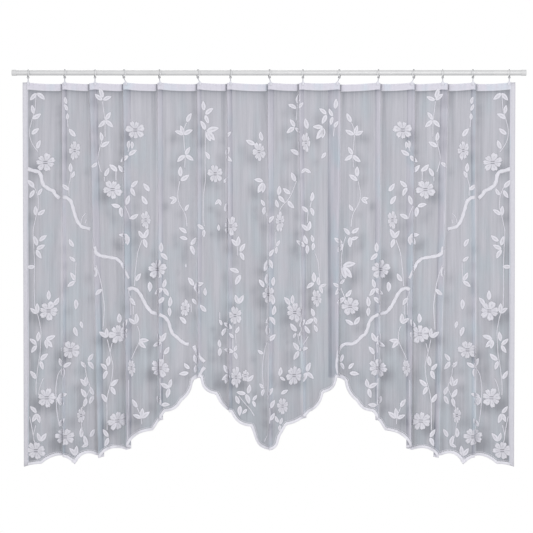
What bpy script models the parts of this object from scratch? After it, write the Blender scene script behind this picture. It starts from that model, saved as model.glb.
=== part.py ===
"""Embroidered net curtain with a scalloped M-shaped hem, hung by rings on a round rod.

Metres, +Z up. The origin is the middle of the rod's axis, +X runs along the rod, and the
front of the curtain faces -Y. Tables and sizes are in millimetres, and MM turns them into
metres. The cloth is worked out from its flat cut: every point has a place along the flat
width and a fall below the heading, and plan_curve bends the width into the hung folds.
"""

import math
from typing import NamedTuple

import bmesh
import bpy
import numpy as np

MM = 0.001

# Rod and end caps
ROD_DIAMETER = 20.0
SPAN_OVER_CAPS = 1940.0
CAP_DIAMETER = 22.5
CAP_LENGTH = 18.0
CAP_FLOOR = 6.0
CAP_EDGE = 1.6
ROUND_SIDES = 24
FIT_GAP = 0.3

# Rings
RING_RADIUS = 15.0
RING_WIRE = 3.0
RING_HANG = 2.6
RING_STEPS = 16
WIRE_STEPS = 6

# Cloth and its heading tape
CLOTH_THICKNESS = 1.0
TAPE_THICKNESS = 0.8
TAPE_HEIGHT = 25.0
TAPE_INSET = 0.8
HEADING_DEPTH = 36.5
HEADING_SAG = 5.0
SAG_SPAN = 187.0
DROP = 1450.0
TOP_HALF_WIDTH = 929.0
FOOT_HALF_WIDTH = 924.5
SIDE_SWING = 5.0

# Z-folds: the length of one half-turn of cloth, and how far the folds open at the foot
TURN_TOP = 12.0
TURN_FOOT = 18.0
OPENING = 0.12
WIDTH_LOST = 0.45
LOOSENING = 1.6
STEEPEST_WAVE = 0.75
RIPPLE = 0.35
RIPPLE_PHASE = 0.6
RIPPLE_STEP = 1.7

# Spacing of the cloth's columns and rows
FOLD_SPACING = 4.0
PANEL_SPACING = 18.0
LEAST_SPACING = 1.0
CLOTH_ROWS = 7
SAMPLE_STEP = 0.5
LEVELS = 30
BELOW_HEM = 10.0
ARC_STEPS = 8

# Clips: two jaws astride the heading and a plate with an eye for the ring
CLIP_WIDTH = 10.0
CLIP_FLAT = 12.2
JAW_THICKNESS = 1.0
JAW_GAP = 0.35
JAW_TOP = 33.8
JAW_ROOF = 35.0
FRONT_JAW_FOOT = 47.0
BACK_JAW_FOOT = 45.0
PLATE_INSET = 0.1
STEM_HALF_WIDTH = 2.2
EYE_RADIUS = 4.8
EYE_HOLE = 3.0
EYE_START = -35.0
EYE_SWEEP = 250.0
EYE_STEPS = 8

MERGE = 0.00001


class Fold(NamedTuple):
    """A ring, its clip and the Z-fold beside it."""

    ring: float     # ring's place along the rod
    side: int       # 1: the cloth on the right lies in front, -1: on the left, 0: no fold
    overlap: float  # width of the fold at the heading
    grip: float     # from the fold's front edge to the middle of the clip
    lean: float     # sideways step from the ring to its clip
    drift: float    # sideways move of the front edge at the foot
    swing: float    # move towards the back at the foot
    yaw: float      # turn of the ring about the vertical, in degrees


FOLDS = (
    Fold(-908, 0, 0, 0, 0, 0, 0, 14),
    Fold(-770, 1, 17, 10.5, 0, 3, 6, 20),
    Fold(-656, 1, 30, 22.0, 0, 38, -4, 12),
    Fold(-547, 1, 28, 10.5, 7, 13, 8, 22),
    Fold(-413, 1, 21, 10.5, 2, 9, -5, 16),
    Fold(-268, 1, 17, 10.5, 7, 6, 5, 20),
    Fold(-145, 1, 19, 13.5, 0, 10, -6, 11),
    Fold(2, 1, 23, 10.5, 4, 6, 4, 18),
    Fold(128, 1, 19, 15.5, 0, 20, -3, -14),
    Fold(265, -1, 45, 10.5, 7, -12, 7, -20),
    Fold(413, -1, 19, 10.5, 3, -9, -5, -16),
    Fold(546, -1, 28, 10.5, 7, -13, 8, -22),
    Fold(655, -1, 27, 20.0, 0, -38, -4, -12),
    Fold(769, -1, 17, 10.5, 0, -3, 6, -20),
    Fold(906, 0, 0, 0, 0, 0, 0, -14),
)


class Scallop(NamedTuple):
    """One bow of the hem, from the row above to this point."""

    x: float      # end of the bow along the rod
    depth: float  # end of the bow below the rod's axis
    bow: float    # rise of the bow above its chord, negative where it bulges downwards


TAIL = (
    Scallop(-924, 1486, 0),
    Scallop(-856, 1473, 3),
    Scallop(-732, 1477, 31),
    Scallop(-637, 1452, 29),
    Scallop(-540, 1424, 24),
    Scallop(-438, 1348, 22),
    Scallop(-391, 1277, 0),
    Scallop(-328, 1236, -11),
    Scallop(-287, 1161, -10),
    Scallop(-258, 1147, 1),
)
TONGUE = (
    Scallop(-200, 1212, -19),
    Scallop(-143, 1280, -9),
    Scallop(-68, 1332, -15),
    Scallop(-53, 1377, 0),
    Scallop(4, 1424, -12),
    Scallop(38, 1378, -11),
    Scallop(67, 1328, 0),
    Scallop(153, 1277, -11),
    Scallop(204, 1205, -12),
    Scallop(257, 1148, -15),
)


def smooth_step(share):
    """Ease from 0 to 1 with level ends."""
    share = np.clip(share, 0.0, 1.0)
    return share * share * (3.0 - 2.0 * share)


def running_total(rate, step):
    """Integrate evenly spaced values, starting from 0."""
    middles = 0.5 * (rate[1:] + rate[:-1]) * step
    return np.concatenate(([0.0], np.cumsum(middles)))


HALF_TURN = np.linspace(0.0, 0.5, 101)
TURN_REACH = running_total(np.cos(math.pi * smooth_step(HALF_TURN)), HALF_TURN[1])[-1]
TURN_DEPTH = 2.0 * running_total(np.sin(math.pi * smooth_step(HALF_TURN)), HALF_TURN[1])[-1]

PLEATS = [fold for fold in FOLDS if fold.side]


def middle_layer(fold):
    """Straight cloth between a fold's two turns."""
    return fold.overlap - 2.0 * TURN_REACH * TURN_TOP


def zone_length(fold):
    """Cloth from the start of a fold's first turn to the end of its second."""
    return 2.0 * TURN_TOP + middle_layer(fold)


def cloth_taken(fold):
    """Cloth that a fold uses beyond its hung width."""
    return 2.0 * TURN_TOP + 2.0 * middle_layer(fold)


def front_edge(fold):
    """Hung place of a fold's front edge at the heading."""
    return fold.ring + fold.side * (fold.lean - fold.grip)


def flat_places():
    """Flat place of each fold's middle, and of the cloth's right-hand side."""
    places = []
    flat = 0.0
    hung = -TOP_HALF_WIDTH
    spare = 0.0
    for fold in PLEATS:
        middle = front_edge(fold) + 0.5 * fold.side * fold.overlap
        flat += middle - hung + 0.5 * (spare + cloth_taken(fold))
        places.append(flat)
        hung = middle
        spare = cloth_taken(fold)
    return places, flat + TOP_HALF_WIDTH - hung + 0.5 * spare


MIDDLES, FLAT_WIDTH = flat_places()
SAMPLES = np.linspace(0.0, FLAT_WIDTH, round(FLAT_WIDTH / SAMPLE_STEP) + 1)
STEP = SAMPLES[1]


def fold_angle(loose):
    """Direction of the cloth in plan from its Z-folds alone: loose is 0 at the heading."""
    angle = np.zeros_like(SAMPLES)
    for fold, middle in zip(PLEATS, MIDDLES):
        half = 0.5 * zone_length(fold)
        turn = min(TURN_TOP + (TURN_FOOT - TURN_TOP) * loose, half)
        there = smooth_step((SAMPLES - middle + half) / turn)
        back = smooth_step((SAMPLES - middle - half + turn) / turn)
        angle -= fold.side * math.pi * (1.0 - OPENING * loose) * (there - back)
    return angle


def panels():
    """Start and end along the flat width of each panel between folds."""
    starts = [0.0] + [m + 0.5 * zone_length(f) for f, m in zip(PLEATS, MIDDLES)]
    ends = [m - 0.5 * zone_length(f) for f, m in zip(PLEATS, MIDDLES)] + [FLAT_WIDTH]
    return list(zip(starts, ends))


def targets(share, loose):
    """Hung x and y that the sides and the fold middles keep at a share of the drop."""
    half_width = TOP_HALF_WIDTH + (FOOT_HALF_WIDTH - TOP_HALF_WIDTH) * share
    xs = [-half_width]
    ys = [SIDE_SWING * share]
    for fold in PLEATS:
        half_fold = 0.5 * fold.side * fold.overlap * (1.0 - WIDTH_LOST * loose)
        xs.append(front_edge(fold) + fold.drift * share + half_fold)
        ys.append(TURN_DEPTH * TURN_TOP + fold.swing * share)
    return np.array(xs + [half_width]), np.array(ys + [SIDE_SWING * share])


def plan_curve(fall):
    """Hung x and y of every sample of the flat width, at a fall below the heading."""
    share = max(fall - TAPE_HEIGHT, 0.0) / (DROP - TAPE_HEIGHT)
    loose = share ** LOOSENING
    angle = fold_angle(loose)
    target_x, target_y = targets(share, loose)
    marks = np.array([0.0] + MIDDLES + [FLAT_WIDTH])
    straight = np.diff(np.interp(marks, SAMPLES, running_total(np.cos(angle), STEP)))
    windows = []
    for index, (start, end) in enumerate(panels()):
        length = end - start
        place = np.clip((SAMPLES - start) / length, 0.0, 1.0)
        windows.append(1.0 - np.cos(2.0 * math.pi * place))
        spare = (straight[index] - (target_x[index + 1] - target_x[index])) / length
        steepness = min(2.0 * math.sqrt(max(spare, 0.0)), STEEPEST_WAVE)
        ripple = RIPPLE * math.sin(RIPPLE_STEP * index + RIPPLE_PHASE)
        wave = np.sin(2.0 * math.pi * place) + ripple * np.sin(4.0 * math.pi * place)
        angle -= steepness / math.hypot(1.0, ripple) * wave
    lines = []
    for rate, target in ((np.cos(angle), target_x), (np.sin(angle), target_y)):
        reached = np.diff(np.interp(marks, SAMPLES, running_total(rate, STEP)))
        for index, (start, end) in enumerate(panels()):
            missing = target[index + 1] - target[index] - reached[index]
            rate = rate + missing / (end - start) * windows[index]
        lines.append(target[0] + running_total(rate, STEP))
    return lines


LEVEL_FALLS = np.concatenate(([0.0], np.linspace(TAPE_HEIGHT, DROP + BELOW_HEM, LEVELS)))
LEVEL_CURVES = np.array([plan_curve(fall) for fall in LEVEL_FALLS])


def plan_point(flat, fall):
    """Hung x and y of one point of the cloth."""
    level = min(np.searchsorted(LEVEL_FALLS, fall, side="right") - 1, LEVELS - 1)
    share = (fall - LEVEL_FALLS[level]) / (LEVEL_FALLS[level + 1] - LEVEL_FALLS[level])
    upper = [np.interp(flat, SAMPLES, line) for line in LEVEL_CURVES[level]]
    lower = [np.interp(flat, SAMPLES, line) for line in LEVEL_CURVES[level + 1]]
    return [(1.0 - share) * a + share * b for a, b in zip(upper, lower)]


def visible_flat(x, fall):
    """Flat place of the front-most cloth at a hung x and a fall below the heading."""
    level = np.abs(LEVEL_FALLS - fall).argmin()
    line = LEVEL_CURVES[level][0]
    from_right = np.minimum.accumulate(line[::-1])[::-1]
    from_left = np.maximum.accumulate(line)
    last_left = [m for f, m in zip(PLEATS, MIDDLES) if f.side > 0][-1]
    first_right = [m for f, m in zip(PLEATS, MIDDLES) if f.side < 0][0]
    left_half = SAMPLES < 0.5 * (last_left + first_right)
    seen = np.where(left_half, line <= from_right, line >= from_left)
    return np.interp(x, line[seen], SAMPLES[seen])


def clip_places():
    """Flat place of the middle of each clip."""
    places = [FOLDS[0].ring + TOP_HALF_WIDTH]
    for fold, middle in zip(PLEATS, MIDDLES):
        beyond = 0.5 * zone_length(fold) + fold.grip - TURN_REACH * TURN_TOP
        places.append(middle + fold.side * beyond)
    return places + [FLAT_WIDTH - TOP_HALF_WIDTH + FOLDS[-1].ring]


CLIPS = clip_places()


def heading_depth(flat):
    """Depth of the top edge below the rod's axis: level at the clips, sagging between."""
    right = min(max(int(np.searchsorted(CLIPS, flat)), 1), len(CLIPS) - 1)
    span = CLIPS[right] - CLIPS[right - 1]
    place = min(max((flat - CLIPS[right - 1]) / span, 0.0), 1.0)
    return HEADING_DEPTH + HEADING_SAG * span / SAG_SPAN * 4.0 * place * (1.0 - place)


def hem_outline():
    """Hung x and depth along the whole scalloped hem, left to right."""
    mirrored = []
    for row, before in zip(reversed(TAIL[:-1]), reversed(TAIL[1:])):
        mirrored.append(Scallop(-row.x, row.depth, before.bow))
    rows = list(TAIL + TONGUE) + mirrored
    points = [(rows[0].x, rows[0].depth)]
    for row, after in zip(rows, rows[1:]):
        run = after.x - row.x
        fall = after.depth - row.depth
        chord = math.hypot(run, fall)
        for step in range(1, ARC_STEPS + 1):
            place = step / ARC_STEPS
            rise = 4.0 * after.bow * place * (1.0 - place)
            points.append((row.x + run * place + rise * fall / chord,
                           row.depth + fall * place - rise * run / chord))
    return points


def hem_line():
    """Flat place and depth of points along the hem."""
    flats = []
    depths = []
    for x, depth in hem_outline():
        flat = float(visible_flat(x, depth - HEADING_DEPTH))
        if not flats or flat > flats[-1] + STEP:
            flats.append(flat)
            depths.append(depth)
    flats[0] = 0.0
    flats[-1] = FLAT_WIDTH
    return flats, depths


HEM_FLATS, HEM_DEPTHS = hem_line()


def add_columns(columns, end, spacing):
    """Carry the columns on to `end`, evenly and no further apart than `spacing`."""
    start = columns[-1]
    if end - start > LEAST_SPACING:
        parts = math.ceil((end - start) / spacing)
        columns += list(np.linspace(start, end, parts + 1)[1:])


def cloth_columns():
    """Flat places of the cloth's columns: close in the folds, one flat face at each clip."""
    columns = [0.0]
    for start, end in panels():
        add_columns(columns, start, FOLD_SPACING)
        for place in CLIPS:
            if start < place < end:
                add_columns(columns, place - 0.5 * CLIP_FLAT, PANEL_SPACING)
                add_columns(columns, place + 0.5 * CLIP_FLAT, 2.0 * CLIP_FLAT)
        add_columns(columns, end, PANEL_SPACING)
    return columns


COLUMNS = cloth_columns()


def offset_line(points, distance):
    """Move a plan line to its left-hand side, towards the back of the cloth."""
    moved = []
    for index, point in enumerate(points):
        ahead = points[min(index + 1, len(points) - 1)] - points[min(index, len(points) - 2)]
        behind = points[max(index, 1)] - points[max(index - 1, 0)]
        ahead = ahead / np.linalg.norm(ahead)
        behind = behind / np.linalg.norm(behind)
        normal = np.array([-(ahead[1] + behind[1]), ahead[0] + behind[0]])
        moved.append(point + distance * normal / (1.0 + float(ahead @ behind)))
    return moved


def new_object(name, mesh, collection):
    """Put a mesh in the scene under a node's name."""
    made = bpy.data.objects.new(name, mesh)
    collection.objects.link(made)
    return made


def finish(made, colour, roughness, metallic=0.0):
    """Give an object its own plain material."""
    material = bpy.data.materials.new(made.name)
    material.use_nodes = True
    shader = material.node_tree.nodes["Principled BSDF"]
    shader.inputs["Base Color"].default_value = (*colour, 1.0)
    shader.inputs["Roughness"].default_value = roughness
    shader.inputs["Metallic"].default_value = metallic
    made.data.materials.clear()
    made.data.materials.append(material)


def shade_round(made, degrees=40.0):
    """Shade a round piece smooth, with its real edges kept sharp."""
    made.data.shade_smooth()
    made.data.set_sharp_from_angle(angle=math.radians(degrees))


def from_primitive(name, collection):
    """Name the primitive that was just added and move it to the part's collection."""
    made = bpy.context.object
    for holder in list(made.users_collection):
        holder.objects.unlink(made)
    collection.objects.link(made)
    made.name = name
    return made


def add_rod(collection):
    """Straight round rod whose ends sit inside the caps."""
    length = SPAN_OVER_CAPS - 2.0 * (CAP_FLOOR + FIT_GAP)
    bpy.ops.mesh.primitive_cylinder_add(vertices=ROUND_SIDES, radius=0.5 * ROD_DIAMETER * MM,
                                        depth=length * MM, rotation=(0.0, math.pi / 2.0, 0.0))
    made = from_primitive("rod", collection)
    shade_round(made)
    finish(made, (0.80, 0.80, 0.81), 0.35)


def add_cap(name, direction, collection):
    """Cup-shaped end cap, turned from its profile, with a flat outer face."""
    outer = 0.5 * CAP_DIAMETER
    bore = 0.5 * ROD_DIAMETER + FIT_GAP
    shoulder = CAP_EDGE * (1.0 - math.cos(math.pi / 4.0))
    profile = ((0.0, 0.0), (outer - CAP_EDGE, 0.0), (outer - shoulder, -shoulder),
               (outer, -CAP_EDGE), (outer, -CAP_LENGTH), (bore, -CAP_LENGTH),
               (bore, -CAP_FLOOR), (0.0, -CAP_FLOOR))
    shape = bmesh.new()
    corners = [shape.verts.new((radius * MM, 0.0, height * MM)) for radius, height in profile]
    for first, second in zip(corners, corners[1:]):
        shape.edges.new((first, second))
    mesh = bpy.data.meshes.new(name)
    shape.to_mesh(mesh)
    shape.free()
    made = new_object(name, mesh, collection)
    turned = made.modifiers.new("turned", "SCREW")
    turned.steps = ROUND_SIDES
    turned.render_steps = ROUND_SIDES
    turned.use_merge_vertices = True
    turned.merge_threshold = MERGE
    made.location = (direction * 0.5 * SPAN_OVER_CAPS * MM, 0.0, 0.0)
    made.rotation_euler = (0.0, direction * math.pi / 2.0, 0.0)
    finish(made, (0.82, 0.82, 0.83), 0.4)


def add_ring(name, fold, collection):
    """Ring on the rod, turned a little about the vertical as it hangs."""
    bpy.ops.mesh.primitive_torus_add(
        major_radius=RING_RADIUS * MM, minor_radius=0.5 * RING_WIRE * MM,
        major_segments=RING_STEPS, minor_segments=WIRE_STEPS,
        location=(fold.ring * MM, 0.0, -RING_HANG * MM),
        rotation=(0.0, math.pi / 2.0, math.radians(fold.yaw)))
    made = from_primitive(name, collection)
    shade_round(made, 80.0)
    finish(made, (0.86, 0.86, 0.87), 0.35)


def flat_outline(name, outlines, half_thickness, collection):
    """Closed solid from flat outlines, in the object's own XY plane."""
    curve = bpy.data.curves.new(name, "CURVE")
    curve.dimensions = "2D"
    curve.fill_mode = "BOTH"
    curve.extrude = half_thickness * MM
    for outline in outlines:
        spline = curve.splines.new("POLY")
        spline.points.add(len(outline) - 1)
        for point, (across, up) in zip(spline.points, outline):
            point.co = (across * MM, up * MM, 0.0, 1.0)
        spline.use_cyclic_u = True
    holder = new_object(name + "_curve", curve, collection)
    bpy.context.view_layer.update()
    evaluated = holder.evaluated_get(bpy.context.evaluated_depsgraph_get())
    mesh = bpy.data.meshes.new_from_object(evaluated)
    bpy.data.objects.remove(holder)
    shape = bmesh.new()
    shape.from_mesh(mesh)
    bmesh.ops.remove_doubles(shape, verts=shape.verts, dist=MERGE)
    bmesh.ops.recalc_face_normals(shape, faces=shape.faces)
    shape.to_mesh(mesh)
    shape.free()
    return new_object(name, mesh, collection)


def clip_jaws(name, collection):
    """Channel astride the cloth and tape: front jaw, roof and back jaw."""
    front_inner = -0.5 * CLOTH_THICKNESS - JAW_GAP
    front_outer = front_inner - JAW_THICKNESS
    back_inner = 0.5 * CLOTH_THICKNESS + FIT_GAP + TAPE_THICKNESS + JAW_GAP
    back_outer = back_inner + JAW_THICKNESS
    outline = ((front_outer, -FRONT_JAW_FOOT), (front_inner, -FRONT_JAW_FOOT),
               (front_inner, -JAW_ROOF), (back_inner, -JAW_ROOF),
               (back_inner, -BACK_JAW_FOOT), (back_outer, -BACK_JAW_FOOT),
               (back_outer, -JAW_TOP), (front_outer, -JAW_TOP))
    return flat_outline(name, [outline], 0.5 * CLIP_WIDTH, collection)


def clip_plate(name, eye_x, collection):
    """Plate that rises from the front jaw to an eye round the ring."""
    eye_height = -RING_HANG - RING_RADIUS
    base = -0.5 * (JAW_TOP + JAW_ROOF)
    outline = [(-STEM_HALF_WIDTH, base), (STEM_HALF_WIDTH, base)]
    for step in range(EYE_STEPS + 1):
        angle = math.radians(EYE_START + EYE_SWEEP * step / EYE_STEPS)
        outline.append((eye_x + EYE_RADIUS * math.cos(angle),
                        eye_height + EYE_RADIUS * math.sin(angle)))
    hole = []
    for step in range(EYE_STEPS):
        angle = 2.0 * math.pi * (step + 0.5) / EYE_STEPS
        hole.append((eye_x + EYE_HOLE * math.cos(angle),
                     eye_height + EYE_HOLE * math.sin(angle)))
    return flat_outline(name, [outline, hole], 0.5 * JAW_THICKNESS - PLATE_INSET, collection)


def add_clip(name, fold, flat, collection, cutters):
    """Clip on the heading, square to the cloth there, with its eye on the ring."""
    left = np.array(plan_point(flat - 0.5 * CLIP_FLAT, 0.0))
    right = np.array(plan_point(flat + 0.5 * CLIP_FLAT, 0.0))
    middle = 0.5 * (left + right)
    angle = math.atan2(right[1] - left[1], right[0] - left[0])
    made = clip_jaws(name, collection)
    plate = clip_plate(name + "_plate", fold.ring - middle[0], cutters)
    place = (middle[0] * MM, middle[1] * MM, 0.0)
    made.location = place
    made.rotation_euler = (math.pi / 2.0, 0.0, angle + math.pi / 2.0)
    forward = 0.5 * CLOTH_THICKNESS + JAW_GAP + 0.5 * JAW_THICKNESS
    plate.location = (place[0] + forward * math.sin(angle) * MM,
                      place[1] - forward * math.cos(angle) * MM, 0.0)
    plate.rotation_euler = (math.pi / 2.0, 0.0, angle)
    plate.hide_render = True
    plate.display_type = "WIRE"
    joined = made.modifiers.new("joined", "BOOLEAN")
    joined.operation = "UNION"
    joined.object = plate
    finish(made, (0.88, 0.88, 0.90), 0.4)


def add_sheet(name, rows, place, thickness, collection):
    """Grid of cloth laid into its folds, then given its thickness."""
    shape = bmesh.new()
    bmesh.ops.create_grid(shape, x_segments=len(COLUMNS) - 1, y_segments=rows, size=1.0)
    for corner in shape.verts:
        column = round(0.5 * (corner.co.x + 1.0) * (len(COLUMNS) - 1))
        row = round(0.5 * (1.0 - corner.co.y) * rows)
        corner.co = [value * MM for value in place(column, row)]
    mesh = bpy.data.meshes.new(name)
    shape.to_mesh(mesh)
    shape.free()
    made = new_object(name, mesh, collection)
    solid = made.modifiers.new("thickness", "SOLIDIFY")
    solid.thickness = thickness * MM
    solid.offset = 0.0
    solid.use_even_offset = True
    return made


def add_curtain(collection):
    """Net cloth from the heading to the scalloped hem."""
    def place(column, row):
        flat = COLUMNS[column]
        top = heading_depth(flat)
        foot = np.interp(flat, HEM_FLATS, HEM_DEPTHS) - top
        fall = row * TAPE_HEIGHT
        if row > 1:
            fall = TAPE_HEIGHT + (foot - TAPE_HEIGHT) * (row - 1) / (CLOTH_ROWS - 1)
        return (*plan_point(flat, fall), -top - fall)

    made = add_sheet("curtain", CLOTH_ROWS, place, CLOTH_THICKNESS, collection)
    finish(made, (0.55, 0.56, 0.62), 0.85)


def add_tape(collection):
    """Heading tape sewn along the back of the cloth's top edge."""
    distance = 0.5 * CLOTH_THICKNESS + FIT_GAP + 0.5 * TAPE_THICKNESS
    falls = (TAPE_INSET, TAPE_HEIGHT)
    lines = []
    for fall in falls:
        points = [np.array(plan_point(flat, fall)) for flat in COLUMNS]
        lines.append(offset_line(points, distance))

    def place(column, row):
        return (*lines[row][column], -heading_depth(COLUMNS[column]) - falls[row])

    made = add_sheet("heading_tape", 1, place, TAPE_THICKNESS, collection)
    finish(made, (0.75, 0.75, 0.80), 0.8)


def main():
    """Build the whole part."""
    for old in list(bpy.data.objects):
        bpy.data.objects.remove(old)
    parts = bpy.data.collections.new("embroidered_curtain")
    cutters = bpy.data.collections.new("cutters")
    bpy.context.scene.collection.children.link(parts)
    bpy.context.scene.collection.children.link(cutters)
    add_rod(parts)
    add_cap("end_cap_left", -1, parts)
    add_cap("end_cap_right", 1, parts)
    for number, (fold, flat) in enumerate(zip(FOLDS, CLIPS), start=1):
        add_ring(f"ring_{number:02d}", fold, parts)
        add_clip(f"clip_{number:02d}", fold, flat, parts, cutters)
    add_curtain(parts)
    add_tape(parts)


main()
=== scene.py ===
"""Looks of an embroidered net curtain with a scalloped hem, hung by rings on a round rod.

The cloth repeats the folds of its solid: every point has a place along the flat width of
the cut and a depth below the rod's axis. Tables and sizes are in millimetres, and MM turns
them into metres. The embroidery is charted and worked as raised patches that follow the
folds. The origin is the middle of the rod's axis, and the front faces -Y.
"""

import logging
import math
from dataclasses import dataclass, field
from enum import Enum
from typing import Callable, NamedTuple

import bmesh
import bpy
import numpy as np
from mathutils import Matrix, Vector


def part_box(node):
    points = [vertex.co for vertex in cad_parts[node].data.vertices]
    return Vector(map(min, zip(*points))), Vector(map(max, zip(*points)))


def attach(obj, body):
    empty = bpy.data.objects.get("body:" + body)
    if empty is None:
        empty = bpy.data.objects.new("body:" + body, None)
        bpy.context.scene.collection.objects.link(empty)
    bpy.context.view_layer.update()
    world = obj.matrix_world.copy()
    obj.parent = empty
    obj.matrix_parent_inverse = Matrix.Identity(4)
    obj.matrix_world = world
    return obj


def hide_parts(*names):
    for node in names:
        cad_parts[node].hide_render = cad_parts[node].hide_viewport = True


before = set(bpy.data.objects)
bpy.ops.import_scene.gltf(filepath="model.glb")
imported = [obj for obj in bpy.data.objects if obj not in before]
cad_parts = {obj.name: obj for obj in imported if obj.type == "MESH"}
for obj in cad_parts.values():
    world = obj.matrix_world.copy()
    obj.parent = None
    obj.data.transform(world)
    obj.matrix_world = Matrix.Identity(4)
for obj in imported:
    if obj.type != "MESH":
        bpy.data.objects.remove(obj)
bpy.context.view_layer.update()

BODY = "root"
MM = 0.001          # a millimetre in metres
WELD = 1e-6         # corners closer than this are one, in metres
PATCH_WELD = 0.02   # the same for corners of patches, in millimetres
DRIFT_SCALE = 60.0  # how often threads wander to and fro
CLOUD_DETAIL = 3.0  # finer layers in soft unevenness
HOURS = 12.0        # hours of the clock that leaves point to
TURN = 2.0 * math.pi

Array = np.ndarray
Amount = float | Array
Pair = tuple[float, float]
Triple = tuple[float, float, float]
Route = tuple[float, ...]  # x and depth of one point after the other
Tree = bpy.types.NodeTree
Node = bpy.types.Node
Socket = bpy.types.NodeSocket
Material = bpy.types.Material
Mesh = bpy.types.Mesh
Piece = bpy.types.Object
Shape = bmesh.types.BMesh

log = logging.getLogger("curtain")


class Slot(Enum):
    """Finishes that the record names."""

    NET = "net_cloth"
    EMBROIDERY = "embroidery"
    TAPE = "heading_tape"
    ROD = "rod"
    CAP = "end_cap"
    RING = "ring_plastic"
    CLIP = "clip_plastic"


class Hand(Enum):
    """Side of the curtain that a charted row is worked on: 1 as written, -1 mirrored."""

    LEFT = 1
    RIGHT = -1


class Fold(NamedTuple):
    """A ring, its clip and the Z-fold beside it."""

    ring: float     # ring's place along the rod
    side: int       # 1: the cloth on the right lies in front, -1: on the left, 0: no fold
    overlap: float  # width of the fold at the heading
    grip: float     # from the fold's front edge to the middle of the clip
    lean: float     # sideways step from the ring to its clip
    drift: float    # sideways move of the front edge at the foot
    swing: float    # move towards the back at the foot
    yaw: float      # turn of the ring about the vertical, in degrees


FOLDS = tuple(Fold(*row) for row in (
    (-908, 0, 0, 0, 0, 0, 0, 14),
    (-770, 1, 17, 10.5, 0, 3, 6, 20),
    (-656, 1, 30, 22.0, 0, 38, -4, 12),
    (-547, 1, 28, 10.5, 7, 13, 8, 22),
    (-413, 1, 21, 10.5, 2, 9, -5, 16),
    (-268, 1, 17, 10.5, 7, 6, 5, 20),
    (-145, 1, 19, 13.5, 0, 10, -6, 11),
    (2, 1, 23, 10.5, 4, 6, 4, 18),
    (128, 1, 19, 15.5, 0, 20, -3, -14),
    (265, -1, 45, 10.5, 7, -12, 7, -20),
    (413, -1, 19, 10.5, 3, -9, -5, -16),
    (546, -1, 28, 10.5, 7, -13, 8, -22),
    (655, -1, 27, 20.0, 0, -38, -4, -12),
    (769, -1, 17, 10.5, 0, -3, 6, -20),
    (906, 0, 0, 0, 0, 0, 0, -14),
))
PLEATS = [fold for fold in FOLDS if fold.side]


class Scallop(NamedTuple):
    """One bow of the hem, from the row above to this point."""

    x: float      # end of the bow along the rod
    depth: float  # end of the bow below the rod's axis
    bow: float    # rise of the bow above its chord, negative where it bulges downwards


TAIL = tuple(Scallop(*row) for row in (
    (-924, 1486, 0), (-856, 1473, 3), (-732, 1477, 31), (-637, 1452, 29), (-540, 1424, 24),
    (-438, 1348, 22), (-391, 1277, 0), (-328, 1236, -11), (-287, 1161, -10), (-258, 1147, 1),
))
TONGUE = tuple(Scallop(*row) for row in (
    (-200, 1212, -19), (-143, 1280, -9), (-68, 1332, -15), (-53, 1377, 0), (4, 1424, -12),
    (38, 1378, -11), (67, 1328, 0), (153, 1277, -11), (204, 1205, -12), (257, 1148, -15),
))


class Crinkle(NamedTuple):
    """One train of fine upright ripples in the net."""

    length: float  # from crest to crest along the width
    height: float  # half of the way from trough to crest
    slant: float   # sideways wander of the crests on the way down
    phase: float   # start of the train, in radians


CRINKLES = tuple(Crinkle(*row) for row in (
    (23.0, 0.34, 9.0, 0.3), (31.0, 0.42, -13.0, 2.1), (47.0, 0.75, 16.0, 4.0),
    (83.0, 1.3, -22.0, 1.2),
))


def smooth_step(share: Amount) -> Amount:
    """Ease from 0 to 1 with level ends."""
    share = np.clip(share, 0.0, 1.0)
    return share * share * (3.0 - 2.0 * share)


def arch(share: Amount) -> Amount:
    """Rise from 0 at both ends to 1 in the middle."""
    return 4.0 * share * (1.0 - share)


def bell(distance: Amount, reach: float) -> Amount:
    """Fall from 1 towards 0 on both sides of a line."""
    return np.exp(-(distance / reach) ** 2)


def unit(rows: Array) -> Array:
    """Scale rows to a length of 1."""
    return rows / np.linalg.norm(rows, axis=1)[:, None]


def running_total(rate: Array, step: float) -> Array:
    """Integrate evenly spaced values, starting from 0."""
    return np.concatenate(([0.0], np.cumsum(0.5 * (rate[1:] + rate[:-1]) * step)))


def route_lengths(route: Array) -> Array:
    """Length of a route up to each of its points."""
    return np.concatenate(([0.0], np.cumsum(np.linalg.norm(np.diff(route, axis=0), axis=1))))


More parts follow.
